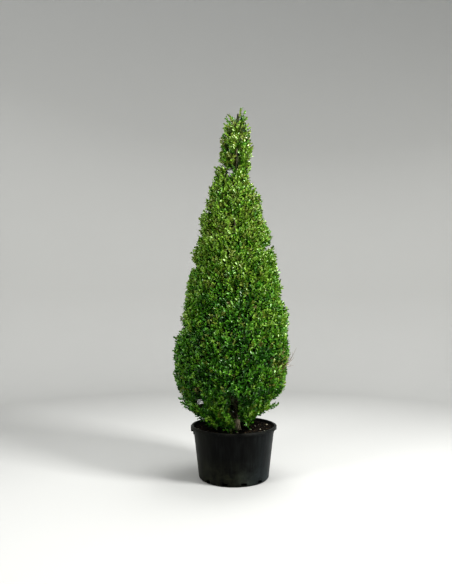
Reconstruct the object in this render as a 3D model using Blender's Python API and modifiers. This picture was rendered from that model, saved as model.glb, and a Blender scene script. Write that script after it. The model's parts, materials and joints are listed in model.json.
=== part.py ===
"""A tall cone-clipped tree with small leaves, on one trunk, in a black round nursery tub.

Metres, +Z up. The origin is the centre of the tub's flat underside.
The crown is a stack of slanted tiers. Each tier is shared out among sectors like slices of a cake,
and each slice is one mass of foliage: a core, a stem, twigs and leaves fused together.
"""

import math
import random
from collections import namedtuple

import bmesh
import bpy
from mathutils import Matrix, Vector

# Sizes of the tub and its filling
POT_HEIGHT = 0.557
POT_RIM_RADIUS = 0.465
POT_BASE_RADIUS = 0.377
POT_WALL_SLOPE = 0.121
POT_WALL = 0.005
POT_FLOOR = 0.006
POT_FOOT_ROUNDING = 0.022
POT_FOOT_ARC_STEPS = 3
POT_FLOOR_INSET = 0.011
RIM_FOLD_HEIGHT = 0.028
RIM_FOLD_WALL = 0.004
RIM_FOLD_LEAN = 0.002
RIM_EDGE = 0.006
GRIPS = 2
GRIP_AZIMUTH = math.radians(6.0)
GRIP_HALF_ANGLE = math.radians(6.5)
GRIP_HEIGHT = 0.054
GRIP_RADIUS = 0.469
BRACKET_HALF_ANGLE = math.radians(4.0)
BRACKET_HEIGHT = 0.036
BRACKET_DEPTH = 0.010
GRIP_CUTS = 1
POT_SIDES = 40
DRAIN_SLOTS = 12
DRAIN_SLOT_WIDTH = 0.060
DRAIN_SLOT_LOW = 0.012
DRAIN_SLOT_HIGH = 0.040
DRAIN_CUT_DEPTH = 0.030
SOIL_LEVEL = 0.500
SOIL_RISE = 0.030
SOIL_DISH = ((0.14, 0.0), (0.36, 0.66))
SOIL_GAP = 0.0006
CLEARANCE = 0.0003
TRIM_GAP = 0.00042

# Sizes of the trunk
TRUNK_TOP = 4.03
TRUNK_FOOT_X = 0.037
TRUNK_LEAN = -0.1035
TRUNK_RETURN = 0.1165
TRUNK_SWAY = 0.012
TRUNK_FOOT_RADIUS = 0.031
TRUNK_TIP_RADIUS = 0.008
TRUNK_TAPER_POWER = 1.6
FLARE_DEPTH = 0.014
FLARE_HEIGHT = 0.045
FLARE_LOBES = 5
FLARE_LOBE_SHARE = 0.4
TRUNK_SIDES = 10
TRUNK_RINGS = 18
TRUNK_RING_CROWDING = 1.7

# Outline of the crown: height above the ground and radius there
CROWN_OUTLINE = (
    (0.52, 0.24),
    (0.62, 0.37),
    (0.76, 0.49),
    (1.00, 0.59),
    (1.35, 0.615),
    (2.00, 0.535),
    (2.48, 0.455),
    (3.09, 0.29),
    (3.40, 0.195),
    (3.68, 0.195),
    (3.84, 0.155),
    (4.03, 0.110),
    (4.12, 0.085),
)
CROWN_FOOT = 0.53
CLIPPED_TOP = 4.04
CROWN_TOP = 4.12
CROWN_SHIFT_FOOT = -0.045
CROWN_SHIFT_TOP = -0.020

# Tiers: where each lower edge meets the trunk, how steeply the edges rise outwards and how far
# they rise and fall round the crown, as shares of the radius, and the sectors in each tier
TIER_EDGES = (0.38, 0.86, 1.37, 1.86, 2.34, 2.84, 3.33, 3.70)
TIER_RISE = 0.4
TIER_WAVE = 0.10
TIER_WAVES = 3
TIER_SECTORS = (5, 5, 4, 4, 3, 3, 2, 2)
TIERS_ON_BOUGHS = 5
TIER_TURN = math.radians(38.0)
EDGE_SETTLE_STEPS = 14
SPACE_GAP = 0.005

# Boughs, and the stem on which each mass grows
BOUGH_REACH = 0.40
BOUGH_SLOPE = 0.80
BOUGH_CURVE = 0.35
BOUGH_LOWEST_START = SOIL_LEVEL + 0.06
BOUGH_START_SPREAD = 0.035
BOUGH_FOOT_RADIUS = 0.016
BOUGH_TIP_RADIUS = 0.010
BOUGH_POINTS = 4
STEM_SIDES = 6
STEM_END_RADIUS = 0.006
STEM_SLOPE = 0.5

# Cores: the leafy shell outside them, and the share of the space within it that they fill
SHELL_DEPTH = 0.052
SHELL_DEPTH_SHARE = 0.085
CORE_INNER_SHARE = 0.60
CORE_UP = 0.95
CORE_ACROSS = 0.95
CORE_ROUNDING = 4.5
CORE_CUTS = 1

# Twigs and leaves: each leaf stands for a spray of the tree's much smaller ones
TWIG_AREA = 0.060
TWIG_START_SHARE = 0.80
TWIG_START_SPREAD = 0.75
TWIG_SIDES = 3
TWIG_FOOT_RADIUS = 0.008
TWIG_TIP_RADIUS = 0.007
TWIG_EDGE_ROOM = 0.40
LEAF_LENGTH = 0.130
LEAF_WIDTH = 0.104
LEAF_THICKNESS = 0.005
LEAF_WIDEST = 0.58
LEAF_SUNK = 0.0035
LEAF_TILT = math.radians(62.0)
LEAF_STEP_BACK = 0.018
LEAF_TOP_SCALE = 0.48
LEAF_SIZE_SPREAD = 0.12
LEAF_ROOM = 0.45
SPIN_TRIES = 6
OUTER_REACH = 0.012
OUTER_ROOM = 0.024
MASS_BULGE = 0.02
GOLDEN_SHARE = 0.618034
LATTICE_START = 0.25
TRUNK_ROOM = 0.010
SEED = 44
SEED_STEP = 100

# The two sprigs that stand above the clipped top, as the places that their tips reach
TOP_SPRIGS = ((0.076, 0.040, 4.118), (-0.050, -0.040, 4.040))
SPRIG_LEAF_TILT = math.radians(20.0)

# The bare dead twigs that stand out of one mass, on its right: the place in the mass that they
# grow from, as its angle round the trunk, its height and a share of the radius, and their tips
DEAD_TWIG_MASS = "tier2_e"
DEAD_TWIG_ROOT = (math.radians(-12.0), 1.17, 0.72)
DEAD_TWIG_TIPS = ((0.655, -0.140, 1.405), (0.628, -0.185, 1.350), (0.618, -0.085, 1.325))
DEAD_TWIG_FOOT_RADIUS = 0.006
DEAD_TWIG_TIP_RADIUS = 0.003

# Colours, and how much greener one mass may be than another and how much darker the lowest are
PLASTIC_COLOUR = (0.012, 0.014, 0.013)
PLASTIC_ROUGHNESS = 0.42
SOIL_COLOUR = (0.022, 0.017, 0.013)
SOIL_ROUGHNESS = 0.95
BARK_COLOUR = (0.19, 0.165, 0.13)
BARK_ROUGHNESS = 0.85
LEAF_COLOUR = (0.045, 0.10, 0.015)
LEAF_ROUGHNESS = 0.45
LEAF_GREEN_LOW = 0.9
LEAF_GREEN_SPREAD = 0.25
LEAF_LIGHT_LOW = 0.6
POT_SMOOTH_ANGLE = math.radians(35.0)
BARK_SMOOTH_ANGLE = math.radians(50.0)
WELD_DISTANCE = 0.00001

Cell = namedtuple("Cell", "tier azimuth half_angle label")


def clear_scene():
    for item in list(bpy.data.objects):
        bpy.data.objects.remove(item, do_unlink=True)


def new_collection(name):
    collection = bpy.data.collections.new(name)
    bpy.context.scene.collection.children.link(collection)
    return collection


def material(name, colour, roughness):
    mat = bpy.data.materials.new(name)
    mat.use_nodes = True
    shader = mat.node_tree.nodes["Principled BSDF"]
    shader.inputs["Base Color"].default_value = (*colour, 1.0)
    shader.inputs["Roughness"].default_value = roughness
    shader.inputs["Metallic"].default_value = 0.0
    mat.diffuse_color = (*colour, 1.0)
    return mat


def mesh_object(name, bm, collection, mat=None):
    mesh = bpy.data.meshes.new(name)
    bm.to_mesh(mesh)
    bm.free()
    item = bpy.data.objects.new(name, mesh)
    if mat:
        mesh.materials.append(mat)
    collection.objects.link(item)
    return item


def bake(item):
    """Replace an object's mesh by the one that its modifiers give."""
    graph = bpy.context.evaluated_depsgraph_get()
    mesh = bpy.data.meshes.new_from_object(item.evaluated_get(graph))
    item.modifiers.clear()
    item.data = mesh
    return item


def smooth(item, angle):
    item.data.shade_smooth()
    item.data.set_sharp_from_angle(angle=angle)


def turned(name, profile, sides, collection, mat):
    """A closed body turned about Z from a profile that starts and ends on the axis."""
    bm = bmesh.new()
    points = [bm.verts.new((radius, 0.0, height)) for radius, height in profile]
    for low, high in zip(points, points[1:]):
        bm.edges.new((low, high))
    item = mesh_object(name, bm, collection, mat)
    screw = item.modifiers.new("turn", "SCREW")
    screw.steps = sides
    screw.render_steps = sides
    screw.use_merge_vertices = True
    screw.merge_threshold = WELD_DISTANCE
    return bake(item)


# The line of the trunk and the outline round it, by height


def blend(pairs, place):
    """Value at a place between the points of an outline."""
    if place <= pairs[0][0]:
        return pairs[0][1]
    for (low, low_value), (high, high_value) in zip(pairs, pairs[1:]):
        if place <= high:
            return low_value + (high_value - low_value) * (place - low) / (high - low)
    return pairs[-1][1]


def crown_radius(height):
    return blend(CROWN_OUTLINE, height)


def trunk_share(height):
    return min(max((height - SOIL_LEVEL) / (TRUNK_TOP - SOIL_LEVEL), 0.0), 1.0)


def trunk_centre(height):
    share = trunk_share(height)
    x = TRUNK_FOOT_X + TRUNK_LEAN * share + TRUNK_RETURN * share * share
    return Vector((x, TRUNK_SWAY * math.sin(2.0 * math.pi * share), height))


def trunk_radius(height):
    share = trunk_share(height)
    spread = TRUNK_FOOT_RADIUS - TRUNK_TIP_RADIUS
    return TRUNK_TIP_RADIUS + spread * (1.0 - share**TRUNK_TAPER_POWER)


def flare(height, azimuth):
    """How far the root flare stands out of the trunk's even taper."""
    fade = math.exp(-(height - SOIL_LEVEL) / FLARE_HEIGHT)
    lobes = 1.0 + FLARE_LOBE_SHARE * math.cos(FLARE_LOBES * azimuth)
    return FLARE_DEPTH * fade * lobes


def crown_centre(height):
    share = trunk_share(height)
    centre = trunk_centre(height)
    centre.x += CROWN_SHIFT_FOOT + (CROWN_SHIFT_TOP - CROWN_SHIFT_FOOT) * share
    return centre


def crown_point(azimuth, height, reach):
    radius = reach * crown_radius(height)
    outward = Vector((math.cos(azimuth), math.sin(azimuth), 0.0))
    return crown_centre(height) + radius * outward


# The space of each mass


def tier_edge(tier, azimuth, reach):
    """Height of a tier's wavy lower edge at a share of the crown's radius."""
    if tier == 0:
        return CROWN_FOOT
    if tier == len(TIER_EDGES):
        return CLIPPED_TOP
    slope = TIER_RISE + TIER_WAVE * math.cos(TIER_WAVES * azimuth + tier * TIER_TURN)
    height = TIER_EDGES[tier]
    for _ in range(EDGE_SETTLE_STEPS):
        height = TIER_EDGES[tier] + slope * reach * crown_radius(height)
    return height


def cell_point(cell, across, up, reach):
    """Place in a cell: across and up run from -1 to 1, reach from the axis to the outline."""
    azimuth = cell.azimuth + across * cell.half_angle
    low = tier_edge(cell.tier, azimuth, reach)
    high = tier_edge(cell.tier + 1, azimuth, reach)
    height = low + (high - low) * 0.5 * (up + 1.0)
    return crown_point(azimuth, height, reach)


def in_cell(cell, point):
    centre = crown_centre(point.z)
    offset = point - centre
    radius = math.hypot(offset.x, offset.y)
    reach = radius / crown_radius(point.z)
    azimuth = math.atan2(offset.y, offset.x)
    turn = math.remainder(azimuth - cell.azimuth, 2.0 * math.pi)
    if radius > crown_radius(point.z) + OUTER_ROOM:
        return False
    if point.z < CROWN_FOOT or point.z > CROWN_TOP:
        return False
    if (cell.half_angle - abs(turn)) * radius < SPACE_GAP:
        return False
    if point.z - tier_edge(cell.tier, azimuth, reach) < SPACE_GAP:
        return False
    last = cell.tier + 1 == len(TIER_SECTORS)
    return last or tier_edge(cell.tier + 1, azimuth, reach) - point.z > SPACE_GAP


def clear_of_trunk(point):
    offset = point - trunk_centre(point.z)
    return math.hypot(offset.x, offset.y) > trunk_radius(point.z) + TRUNK_ROOM


def cell_height(cell):
    """The height of a cell's outer side."""
    top = tier_edge(cell.tier + 1, cell.azimuth, 1.0)
    return top - tier_edge(cell.tier, cell.azimuth, 1.0)


def cell_radius(cell):
    """The crown's radius at the middle of a cell."""
    return crown_radius(cell_point(cell, 0.0, 0.0, 1.0).z)


def core_outer_reach(cell):
    radius = cell_radius(cell)
    return 1.0 - (SHELL_DEPTH + SHELL_DEPTH_SHARE * radius) / radius


def leaf_scale(cell):
    """Leaves stand for smaller sprays towards the narrow top."""
    widest = max(radius for _, radius in CROWN_OUTLINE)
    return LEAF_TOP_SCALE + (1.0 - LEAF_TOP_SCALE) * cell_radius(cell) / widest


def cells():
    for tier, sectors in enumerate(TIER_SECTORS):
        half_angle = math.pi / sectors
        for sector in range(sectors):
            azimuth = tier * TIER_TURN + 2.0 * half_angle * sector
            label = "tier{}_{}".format(tier + 1, "abcde"[sector])
            yield Cell(tier, azimuth, half_angle, label)


# Tub and soil


def pot_outer_radius(height):
    return POT_BASE_RADIUS + POT_WALL_SLOPE * height


def foot_arc():
    """The rounded lower edge of the tub, from the wall down to the underside."""
    centre_radius = pot_outer_radius(POT_FOOT_ROUNDING) - POT_FOOT_ROUNDING
    for step in range(POT_FOOT_ARC_STEPS + 1):
        angle = math.radians(90.0) * step / POT_FOOT_ARC_STEPS
        yield (
            centre_radius + POT_FOOT_ROUNDING * math.cos(angle),
            POT_FOOT_ROUNDING * (1.0 - math.sin(angle)),
        )


def build_pot(collection, cutters):
    """The tub: its wall ends in a rim that is folded over, with two grips under the fold."""
    fold_foot = POT_HEIGHT - RIM_FOLD_HEIGHT
    fold_top = POT_HEIGHT - RIM_FOLD_WALL
    profile = [
        (pot_outer_radius(POT_HEIGHT) - POT_WALL, POT_HEIGHT),
        (POT_RIM_RADIUS - RIM_EDGE, POT_HEIGHT),
        (POT_RIM_RADIUS, POT_HEIGHT - RIM_EDGE),
        (POT_RIM_RADIUS + RIM_FOLD_LEAN, fold_foot),
        (POT_RIM_RADIUS + RIM_FOLD_LEAN - RIM_FOLD_WALL, fold_foot),
        (POT_RIM_RADIUS - RIM_EDGE, fold_top),
        (pot_outer_radius(fold_top), fold_top),
        *foot_arc(),
        (0.0, 0.0),
        (0.0, POT_FLOOR),
        (pot_outer_radius(POT_FLOOR) - POT_WALL - POT_FLOOR_INSET, POT_FLOOR),
        (pot_outer_radius(POT_FOOT_ROUNDING) - POT_WALL, POT_FOOT_ROUNDING),
    ]
    plastic = material("black_tub_plastic", PLASTIC_COLOUR, PLASTIC_ROUGHNESS)
    outer = turned("pot", profile + profile[:1], POT_SIDES, collection, plastic)
    for grip in range(GRIPS):
        azimuth = GRIP_AZIMUTH + 2.0 * math.pi * grip / GRIPS
        add_lug(outer, lug(azimuth, GRIP_HALF_ANGLE, POT_HEIGHT - GRIP_HEIGHT, fold_top, GRIP_RADIUS))
        foot = POT_HEIGHT - GRIP_HEIGHT - BRACKET_HEIGHT
        radius = pot_outer_radius(foot) + BRACKET_DEPTH
        add_lug(outer, lug(azimuth, BRACKET_HALF_ANGLE, foot, fold_foot, radius))
    for slot in range(DRAIN_SLOTS):
        azimuth = 2.0 * math.pi * (slot + 0.5) / DRAIN_SLOTS
        cutter = drain_cutter(azimuth, cutters)
        cut = outer.modifiers.new("drain", "BOOLEAN")
        cut.operation = "DIFFERENCE"
        cut.object = cutter
    smooth(outer, POT_SMOOTH_ANGLE)


def lug(azimuth, half_angle, foot, top, radius):
    """A curved block that starts in the middle of the tub's wall and stands out to a radius."""
    bm = bmesh.new()
    bmesh.ops.create_cube(bm, size=1.0)
    round_edges = [edge for edge in bm.edges if abs(edge.verts[0].co.y - edge.verts[1].co.y) > 0.5]
    bmesh.ops.subdivide_edges(bm, edges=round_edges, cuts=GRIP_CUTS, use_grid_fill=True)
    for vert in bm.verts:
        height = foot + (top - foot) * (vert.co.z + 0.5)
        inner = pot_outer_radius(height) - 0.5 * POT_WALL
        reach = inner + (radius - inner) * (vert.co.x + 0.5)
        turn = azimuth + 2.0 * half_angle * vert.co.y
        vert.co = (reach * math.cos(turn), reach * math.sin(turn), height)
    return bm


def add_lug(tub, bm):
    """Fuse a block to the tub."""
    piece = mesh_object("lug", bm, tub.users_collection[0])
    join = tub.modifiers.new("lug", "BOOLEAN")
    join.operation = "UNION"
    join.object = piece
    bake(tub)
    bpy.data.objects.remove(piece, do_unlink=True)
    bm = bmesh.new()
    bm.from_mesh(tub.data)
    bmesh.ops.remove_doubles(bm, verts=bm.verts, dist=WELD_DISTANCE)
    bm.to_mesh(tub.data)
    bm.free()


def drain_cutter(azimuth, cutters):
    bm = bmesh.new()
    bmesh.ops.create_cube(bm, size=1.0)
    height = DRAIN_SLOT_HIGH - DRAIN_SLOT_LOW
    shape = Matrix.Diagonal((DRAIN_CUT_DEPTH, DRAIN_SLOT_WIDTH, height, 1.0))
    radius = pot_outer_radius(DRAIN_SLOT_LOW)
    place = Matrix.Translation((radius, 0.0, DRAIN_SLOT_LOW + height / 2.0))
    turn = Matrix.Rotation(azimuth, 4, "Z")
    bmesh.ops.transform(bm, matrix=turn @ place @ shape, verts=bm.verts)
    return cutter_object("drain_cutter", bm, cutters)


def cutter_object(name, bm, cutters):
    item = mesh_object(name, bm, cutters)
    item.hide_render = True
    item.display_type = "WIRE"
    return item


def build_soil(collection):
    """The compost: level round the trunk, and higher towards the wall of the tub."""
    floor = POT_FLOOR + CLEARANCE
    room = POT_WALL + SOIL_GAP
    edge = SOIL_LEVEL + SOIL_RISE
    profile = [
        (0.0, SOIL_LEVEL),
        *((radius, SOIL_LEVEL + SOIL_RISE * share) for radius, share in SOIL_DISH),
        (pot_outer_radius(edge) - room, edge),
        (pot_outer_radius(POT_FOOT_ROUNDING) - room, POT_FOOT_ROUNDING + CLEARANCE),
        (pot_outer_radius(POT_FLOOR) - room - POT_FLOOR_INSET, floor),
        (0.0, floor),
    ]
    earth = material("potting_soil", SOIL_COLOUR, SOIL_ROUGHNESS)
    turned("soil", profile, POT_SIDES, collection, earth)


# Trunk and boughs


def trunk_form(extra, foot, top):
    """The trunk as a ringed cone bent along its path, wider by extra all round."""
    bm = bmesh.new()
    bmesh.ops.create_cone(
        bm, cap_ends=True, segments=TRUNK_SIDES, radius1=1.0, radius2=1.0, depth=1.0
    )
    upright = [edge for edge in bm.edges if abs(edge.verts[0].co.z - edge.verts[1].co.z) > 0.5]
    bmesh.ops.subdivide_edges(bm, edges=upright, cuts=TRUNK_RINGS, use_grid_fill=False)
    for vert in bm.verts:
        share = (vert.co.z + 0.5) ** TRUNK_RING_CROWDING
        height = foot + (top - foot) * share
        azimuth = math.atan2(vert.co.y, vert.co.x)
        radius = trunk_radius(height) + flare(height, azimuth) + extra
        outward = Vector((math.cos(azimuth), math.sin(azimuth), 0.0))
        vert.co = trunk_centre(height) + radius * outward
        vert.co.z = height
    return bm


def build_trunk(collection, bark):
    bm = trunk_form(0.0, SOIL_LEVEL + CLEARANCE, TRUNK_TOP)
    item = mesh_object("trunk", bm, collection, bark)
    smooth(item, BARK_SMOOTH_ANGLE)


def trunk_clearance(cutters):
    """The trunk's shape with the gap added, which trims what grows out of it."""
    bm = trunk_form(TRIM_GAP, SOIL_LEVEL + CLEARANCE, TRUNK_TOP)
    return cutter_object("trunk_clearance", bm, cutters)


def bough_end(cell):
    return cell_point(cell, 0.0, 0.0, BOUGH_REACH)


def bough_path(cell, rng):
    """Points on a limb that leaves the trunk and climbs outwards, ever steeper."""
    end = bough_end(cell)
    run = BOUGH_REACH * crown_radius(end.z)
    start_height = end.z - BOUGH_SLOPE * run + rng.uniform(-1.0, 1.0) * BOUGH_START_SPREAD
    start = trunk_centre(max(start_height, BOUGH_LOWEST_START))
    for step in range(BOUGH_POINTS):
        share = step / (BOUGH_POINTS - 1)
        climb = (1.0 - BOUGH_CURVE) * share + BOUGH_CURVE * share * share
        point = start.lerp(end, share)
        point.z = start.z + (end.z - start.z) * climb
        yield point


def build_bough(cell, rng, clearance, collection, bark):
    """One limb, trimmed clear of the trunk. Returns the direction in which its tip points."""
    path = list(bough_path(cell, rng))
    name = "bough_" + cell.label
    curve = bpy.data.curves.new(name, "CURVE")
    curve.dimensions = "3D"
    curve.bevel_depth = 1.0
    curve.bevel_resolution = 1
    curve.use_fill_caps = True
    spline = curve.splines.new("POLY")
    spline.points.add(len(path) - 1)
    for step, (point, place) in enumerate(zip(spline.points, path)):
        share = step / (len(path) - 1)
        point.co = (*place, 1.0)
        point.radius = BOUGH_FOOT_RADIUS + (BOUGH_TIP_RADIUS - BOUGH_FOOT_RADIUS) * share
    limb = bpy.data.objects.new(name, curve)
    collection.objects.link(limb)
    graph = bpy.context.evaluated_depsgraph_get()
    bm = bmesh.new()
    bm.from_mesh(bpy.data.meshes.new_from_object(limb.evaluated_get(graph)))
    bmesh.ops.remove_doubles(bm, verts=bm.verts, dist=WELD_DISTANCE)
    bpy.data.objects.remove(limb, do_unlink=True)
    bpy.data.curves.remove(curve)
    item = mesh_object(name, bm, collection, bark)
    trim(item, clearance)
    bake(item)
    keep_main_body(item)
    smooth(item, BARK_SMOOTH_ANGLE)
    return (path[-1] - path[-2]).normalized()


def trim(item, clearance):
    cut = item.modifiers.new("trunk_gap", "BOOLEAN")
    cut.operation = "DIFFERENCE"
    cut.object = clearance


# Foliage


def aim(start, direction, spin=0.0):
    """A frame at a point whose Z axis runs along a direction."""
    turn = direction.to_track_quat("Z", "Y").to_matrix().to_4x4()
    return Matrix.Translation(start) @ turn @ Matrix.Rotation(spin, 4, "Z")


def rod(name, frame, length, foot_radius, tip_radius, sides, collection):
    """A tapered rod that runs from a frame's origin along its Z axis."""
    bm = bmesh.new()
    bmesh.ops.create_cone(
        bm, cap_ends=True, segments=sides, radius1=foot_radius, radius2=tip_radius, depth=length
    )
    bmesh.ops.translate(bm, vec=(0.0, 0.0, length / 2.0), verts=bm.verts)
    bmesh.ops.transform(bm, matrix=frame, verts=bm.verts)
    return mesh_object(name, bm, collection)


def leaf_form(root, direction, facing, size):
    """A flat eight-sided blade, widest past its middle, that grows from its root."""
    bm = bmesh.new()
    bmesh.ops.create_uvsphere(bm, u_segments=4, v_segments=2, radius=0.5)
    side = direction.cross(facing).normalized()
    face = side.cross(direction).normalized()
    for vert in bm.verts:
        shift = LEAF_WIDEST - 0.5 if abs(vert.co.z) < 0.25 else 0.0
        along = (vert.co.z + 0.5 + shift) * LEAF_LENGTH * size
        across = vert.co.x * LEAF_WIDTH * size
        thick = vert.co.y * LEAF_THICKNESS
        vert.co = root + direction * along + side * across + face * thick
    bmesh.ops.recalc_face_normals(bm, faces=bm.faces)
    return bm


def leaf_fits(cell, bm, taken):
    """Whether a leaf stays in its mass's space, off the trunk and apart from other leaves."""
    middles = [(edge.verts[0].co + edge.verts[1].co) / 2.0 for edge in bm.edges]
    points = [vert.co for vert in bm.verts] + middles
    centre = sum((vert.co for vert in bm.verts), Vector()) / len(bm.verts)
    room = LEAF_ROOM * LEAF_LENGTH * leaf_scale(cell)
    apart = all((centre - other).length > room for other in taken)
    return apart and all(in_cell(cell, point) and clear_of_trunk(point) for point in points)


def try_leaves(cell, frame, length, tilt, sizes, taken):
    """The leaves on the sides of a twig, without those that don't fit."""
    turn = frame.to_3x3()
    axis = turn @ Vector((0.0, 0.0, 1.0))
    leaves = []
    for leaf, size in enumerate(sizes):
        side_angle = (2.0 * leaf + 1.0) * math.pi / TWIG_SIDES
        side = turn @ Vector((math.sin(side_angle), math.cos(side_angle), 0.0))
        direction = math.cos(tilt) * axis + math.sin(tilt) * side
        along = length - LEAF_STEP_BACK * leaf - TWIG_TIP_RADIUS
        root = frame.translation + axis * along - direction * LEAF_SUNK
        bm = leaf_form(root, direction, axis, size)
        if leaf_fits(cell, bm, taken):
            leaves.append(bm)
        else:
            bm.free()
    return leaves


def add_twig(cell, start, end, tilt, size_spread, rng, pieces, taken):
    """A three-sided twig, turned so that as many leaves as possible fit near its tip."""
    scale = leaf_scale(cell)
    sizes = [scale * (1.0 + size_spread * rng.uniform(-1.0, 1.0)) for _ in range(TWIG_SIDES)]
    spins = [rng.uniform(0.0, 2.0 * math.pi) for _ in range(SPIN_TRIES)]
    heading = (end - start).normalized()
    length = (end - start).length
    best = []
    best_frame = None
    for spin in spins:
        frame = aim(start, heading, spin)
        leaves = try_leaves(cell, frame, length, tilt, sizes, taken)
        if len(leaves) > len(best):
            best, leaves = leaves, best
            best_frame = frame
        for bm in leaves:
            bm.free()
    if not best:
        return 0
    rod("twig", best_frame, length, TWIG_FOOT_RADIUS, TWIG_TIP_RADIUS, TWIG_SIDES, pieces)
    for bm in best:
        taken.append(sum((vert.co for vert in bm.verts), Vector()) / len(bm.verts))
        mesh_object("leaf", bm, pieces)
    return len(best)


def core_form(cell):
    """A rounded wedge that fills the middle of a cell."""
    outer = core_outer_reach(cell)
    inner = CORE_INNER_SHARE * outer
    bm = bmesh.new()
    bmesh.ops.create_cube(bm, size=2.0)
    bmesh.ops.subdivide_edges(bm, edges=bm.edges, cuts=CORE_CUTS, use_grid_fill=True)
    for vert in bm.verts:
        x, y, z = vert.co
        total = sum(abs(value) ** CORE_ROUNDING for value in (x, y, z))
        norm = total ** (1.0 / CORE_ROUNDING)
        reach = (outer + inner) / 2.0 + (outer - inner) / 2.0 * x / norm
        vert.co = cell_point(cell, CORE_ACROSS * y / norm, CORE_UP * z / norm, reach)
    return bm


def add_stem(cell, heading, pieces):
    """The stem of a mass: from its bough's tip, or from inside the trunk, into the core."""
    middle_reach = core_outer_reach(cell) * (1.0 + CORE_INNER_SHARE) / 2.0
    middle = cell_point(cell, 0.0, 0.0, middle_reach)
    if heading:
        start = bough_end(cell) + heading * CLEARANCE
    else:
        start = trunk_centre(middle.z - STEM_SLOPE * middle_reach * cell_radius(cell))
        heading = (middle - start).normalized()
    length = (middle - start).length
    frame = aim(start, heading)
    rod("stem", frame, length, BOUGH_TIP_RADIUS, STEM_END_RADIUS, STEM_SIDES, pieces)


def leafy_reach(cell, across, up, length):
    """How far out a twig may end for its spread leaves to reach just past the crown's outline."""
    radius = crown_radius(cell_point(cell, across, up, 1.0).z)
    tip_radius = radius + OUTER_REACH
    half_chord = math.sqrt(tip_radius**2 - (length * math.sin(LEAF_TILT)) ** 2)
    return (half_chord - length * math.cos(LEAF_TILT)) / radius


def add_twigs(cell, rng, pieces):
    """Twigs at even places over the outer side of a cell, from the core to the leafy shell."""
    radius = cell_radius(cell)
    width = 2.0 * cell.half_angle * radius
    height = cell_height(cell)
    scale = leaf_scale(cell)
    count = round(width * height / (TWIG_AREA * scale))
    length = LEAF_LENGTH * scale
    up_limit = 1.0 - 2.0 * TWIG_EDGE_ROOM * length / height
    across_limit = 1.0 - 2.0 * TWIG_EDGE_ROOM * length / width
    start_reach = TWIG_START_SHARE * core_outer_reach(cell)
    taken = []
    leaves = 0
    for twig in range(count):
        up = up_limit * (2.0 * (twig + 0.5) / count - 1.0) * count / (count - 1)
        across = across_limit * (2.0 * ((twig * GOLDEN_SHARE + LATTICE_START) % 1.0) - 1.0)
        bulge = 1.0 - MASS_BULGE * max(abs(up), abs(across)) ** 2
        near = TWIG_START_SPREAD
        start = cell_point(cell, near * across, near * up, start_reach)
        end = cell_point(cell, across, up, leafy_reach(cell, across, up, length) * bulge)
        leaves += add_twig(cell, start, end, LEAF_TILT, LEAF_SIZE_SPREAD, rng, pieces, taken)
    return leaves


def add_top_sprigs(cell, rng, pieces):
    """The sprigs that stand up from the top tier, each in the mass whose space it is in."""
    leaves = 0
    for tip in TOP_SPRIGS:
        end = Vector(tip)
        end.z -= LEAF_LENGTH * leaf_scale(cell) * math.cos(SPRIG_LEAF_TILT) - TWIG_TIP_RADIUS
        if in_cell(cell, end):
            start = cell_point(cell, 0.0, 0.0, core_outer_reach(cell) / 2.0)
            leaves += add_twig(cell, start, end, SPRIG_LEAF_TILT, 0.0, rng, pieces, [])
    return leaves


def add_dead_twigs(pieces):
    root = crown_point(*DEAD_TWIG_ROOT)
    for tip in DEAD_TWIG_TIPS:
        reach = Vector(tip) - root
        frame = aim(root, reach.normalized())
        size = (DEAD_TWIG_FOOT_RADIUS, DEAD_TWIG_TIP_RADIUS)
        rod("dead_twig", frame, reach.length, *size, TWIG_SIDES, pieces)


def keep_main_body(item):
    """Drop loose scraps and fill sealed hollows by keeping the body with the most faces."""
    bm = bmesh.new()
    bm.from_mesh(item.data)
    left = set(bm.faces)
    bodies = []
    while left:
        stack = [left.pop()]
        body = []
        while stack:
            face = stack.pop()
            body.append(face)
            for edge in face.edges:
                for other in edge.link_faces:
                    if other in left:
                        left.remove(other)
                        stack.append(other)
        bodies.append(body)
    bodies.sort(key=len)
    scraps = [face for body in bodies[:-1] for face in body]
    bmesh.ops.delete(bm, geom=scraps, context="FACES")
    bm.to_mesh(item.data)
    bm.free()


def build_mass(cell, heading, clearance, collection, mat):
    """One mass of foliage: core, stem, twigs and leaves, fused by one union."""
    rng = random.Random(SEED + SEED_STEP * cell.tier + round(math.degrees(cell.azimuth)))
    pieces = new_collection("pieces")
    add_stem(cell, heading, pieces)
    leaves = add_twigs(cell, rng, pieces)
    if cell.tier == len(TIER_SECTORS) - 1:
        leaves += add_top_sprigs(cell, rng, pieces)
    if cell.label == DEAD_TWIG_MASS:
        add_dead_twigs(pieces)
    mass = mesh_object("foliage_" + cell.label, core_form(cell), collection, mat)
    union = mass.modifiers.new("fuse", "BOOLEAN")
    union.operation = "UNION"
    union.operand_type = "COLLECTION"
    union.collection = pieces
    if not heading:
        trim(mass, clearance)
    bake(mass)
    for piece in list(pieces.objects):
        bpy.data.objects.remove(piece, do_unlink=True)
    bpy.data.collections.remove(pieces)
    keep_main_body(mass)
    return leaves


def leaf_material(cell, rng):
    """A green of its own for each mass, darker for the lower tiers."""
    tint = LEAF_GREEN_LOW + LEAF_GREEN_SPREAD * rng.random()
    light = LEAF_LIGHT_LOW + (1.0 - LEAF_LIGHT_LOW) * cell.tier / len(TIER_SECTORS)
    red, green, blue = (light * value for value in LEAF_COLOUR)
    return material("leaves_" + cell.label, (red * tint, green * tint, blue), LEAF_ROUGHNESS)


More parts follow.
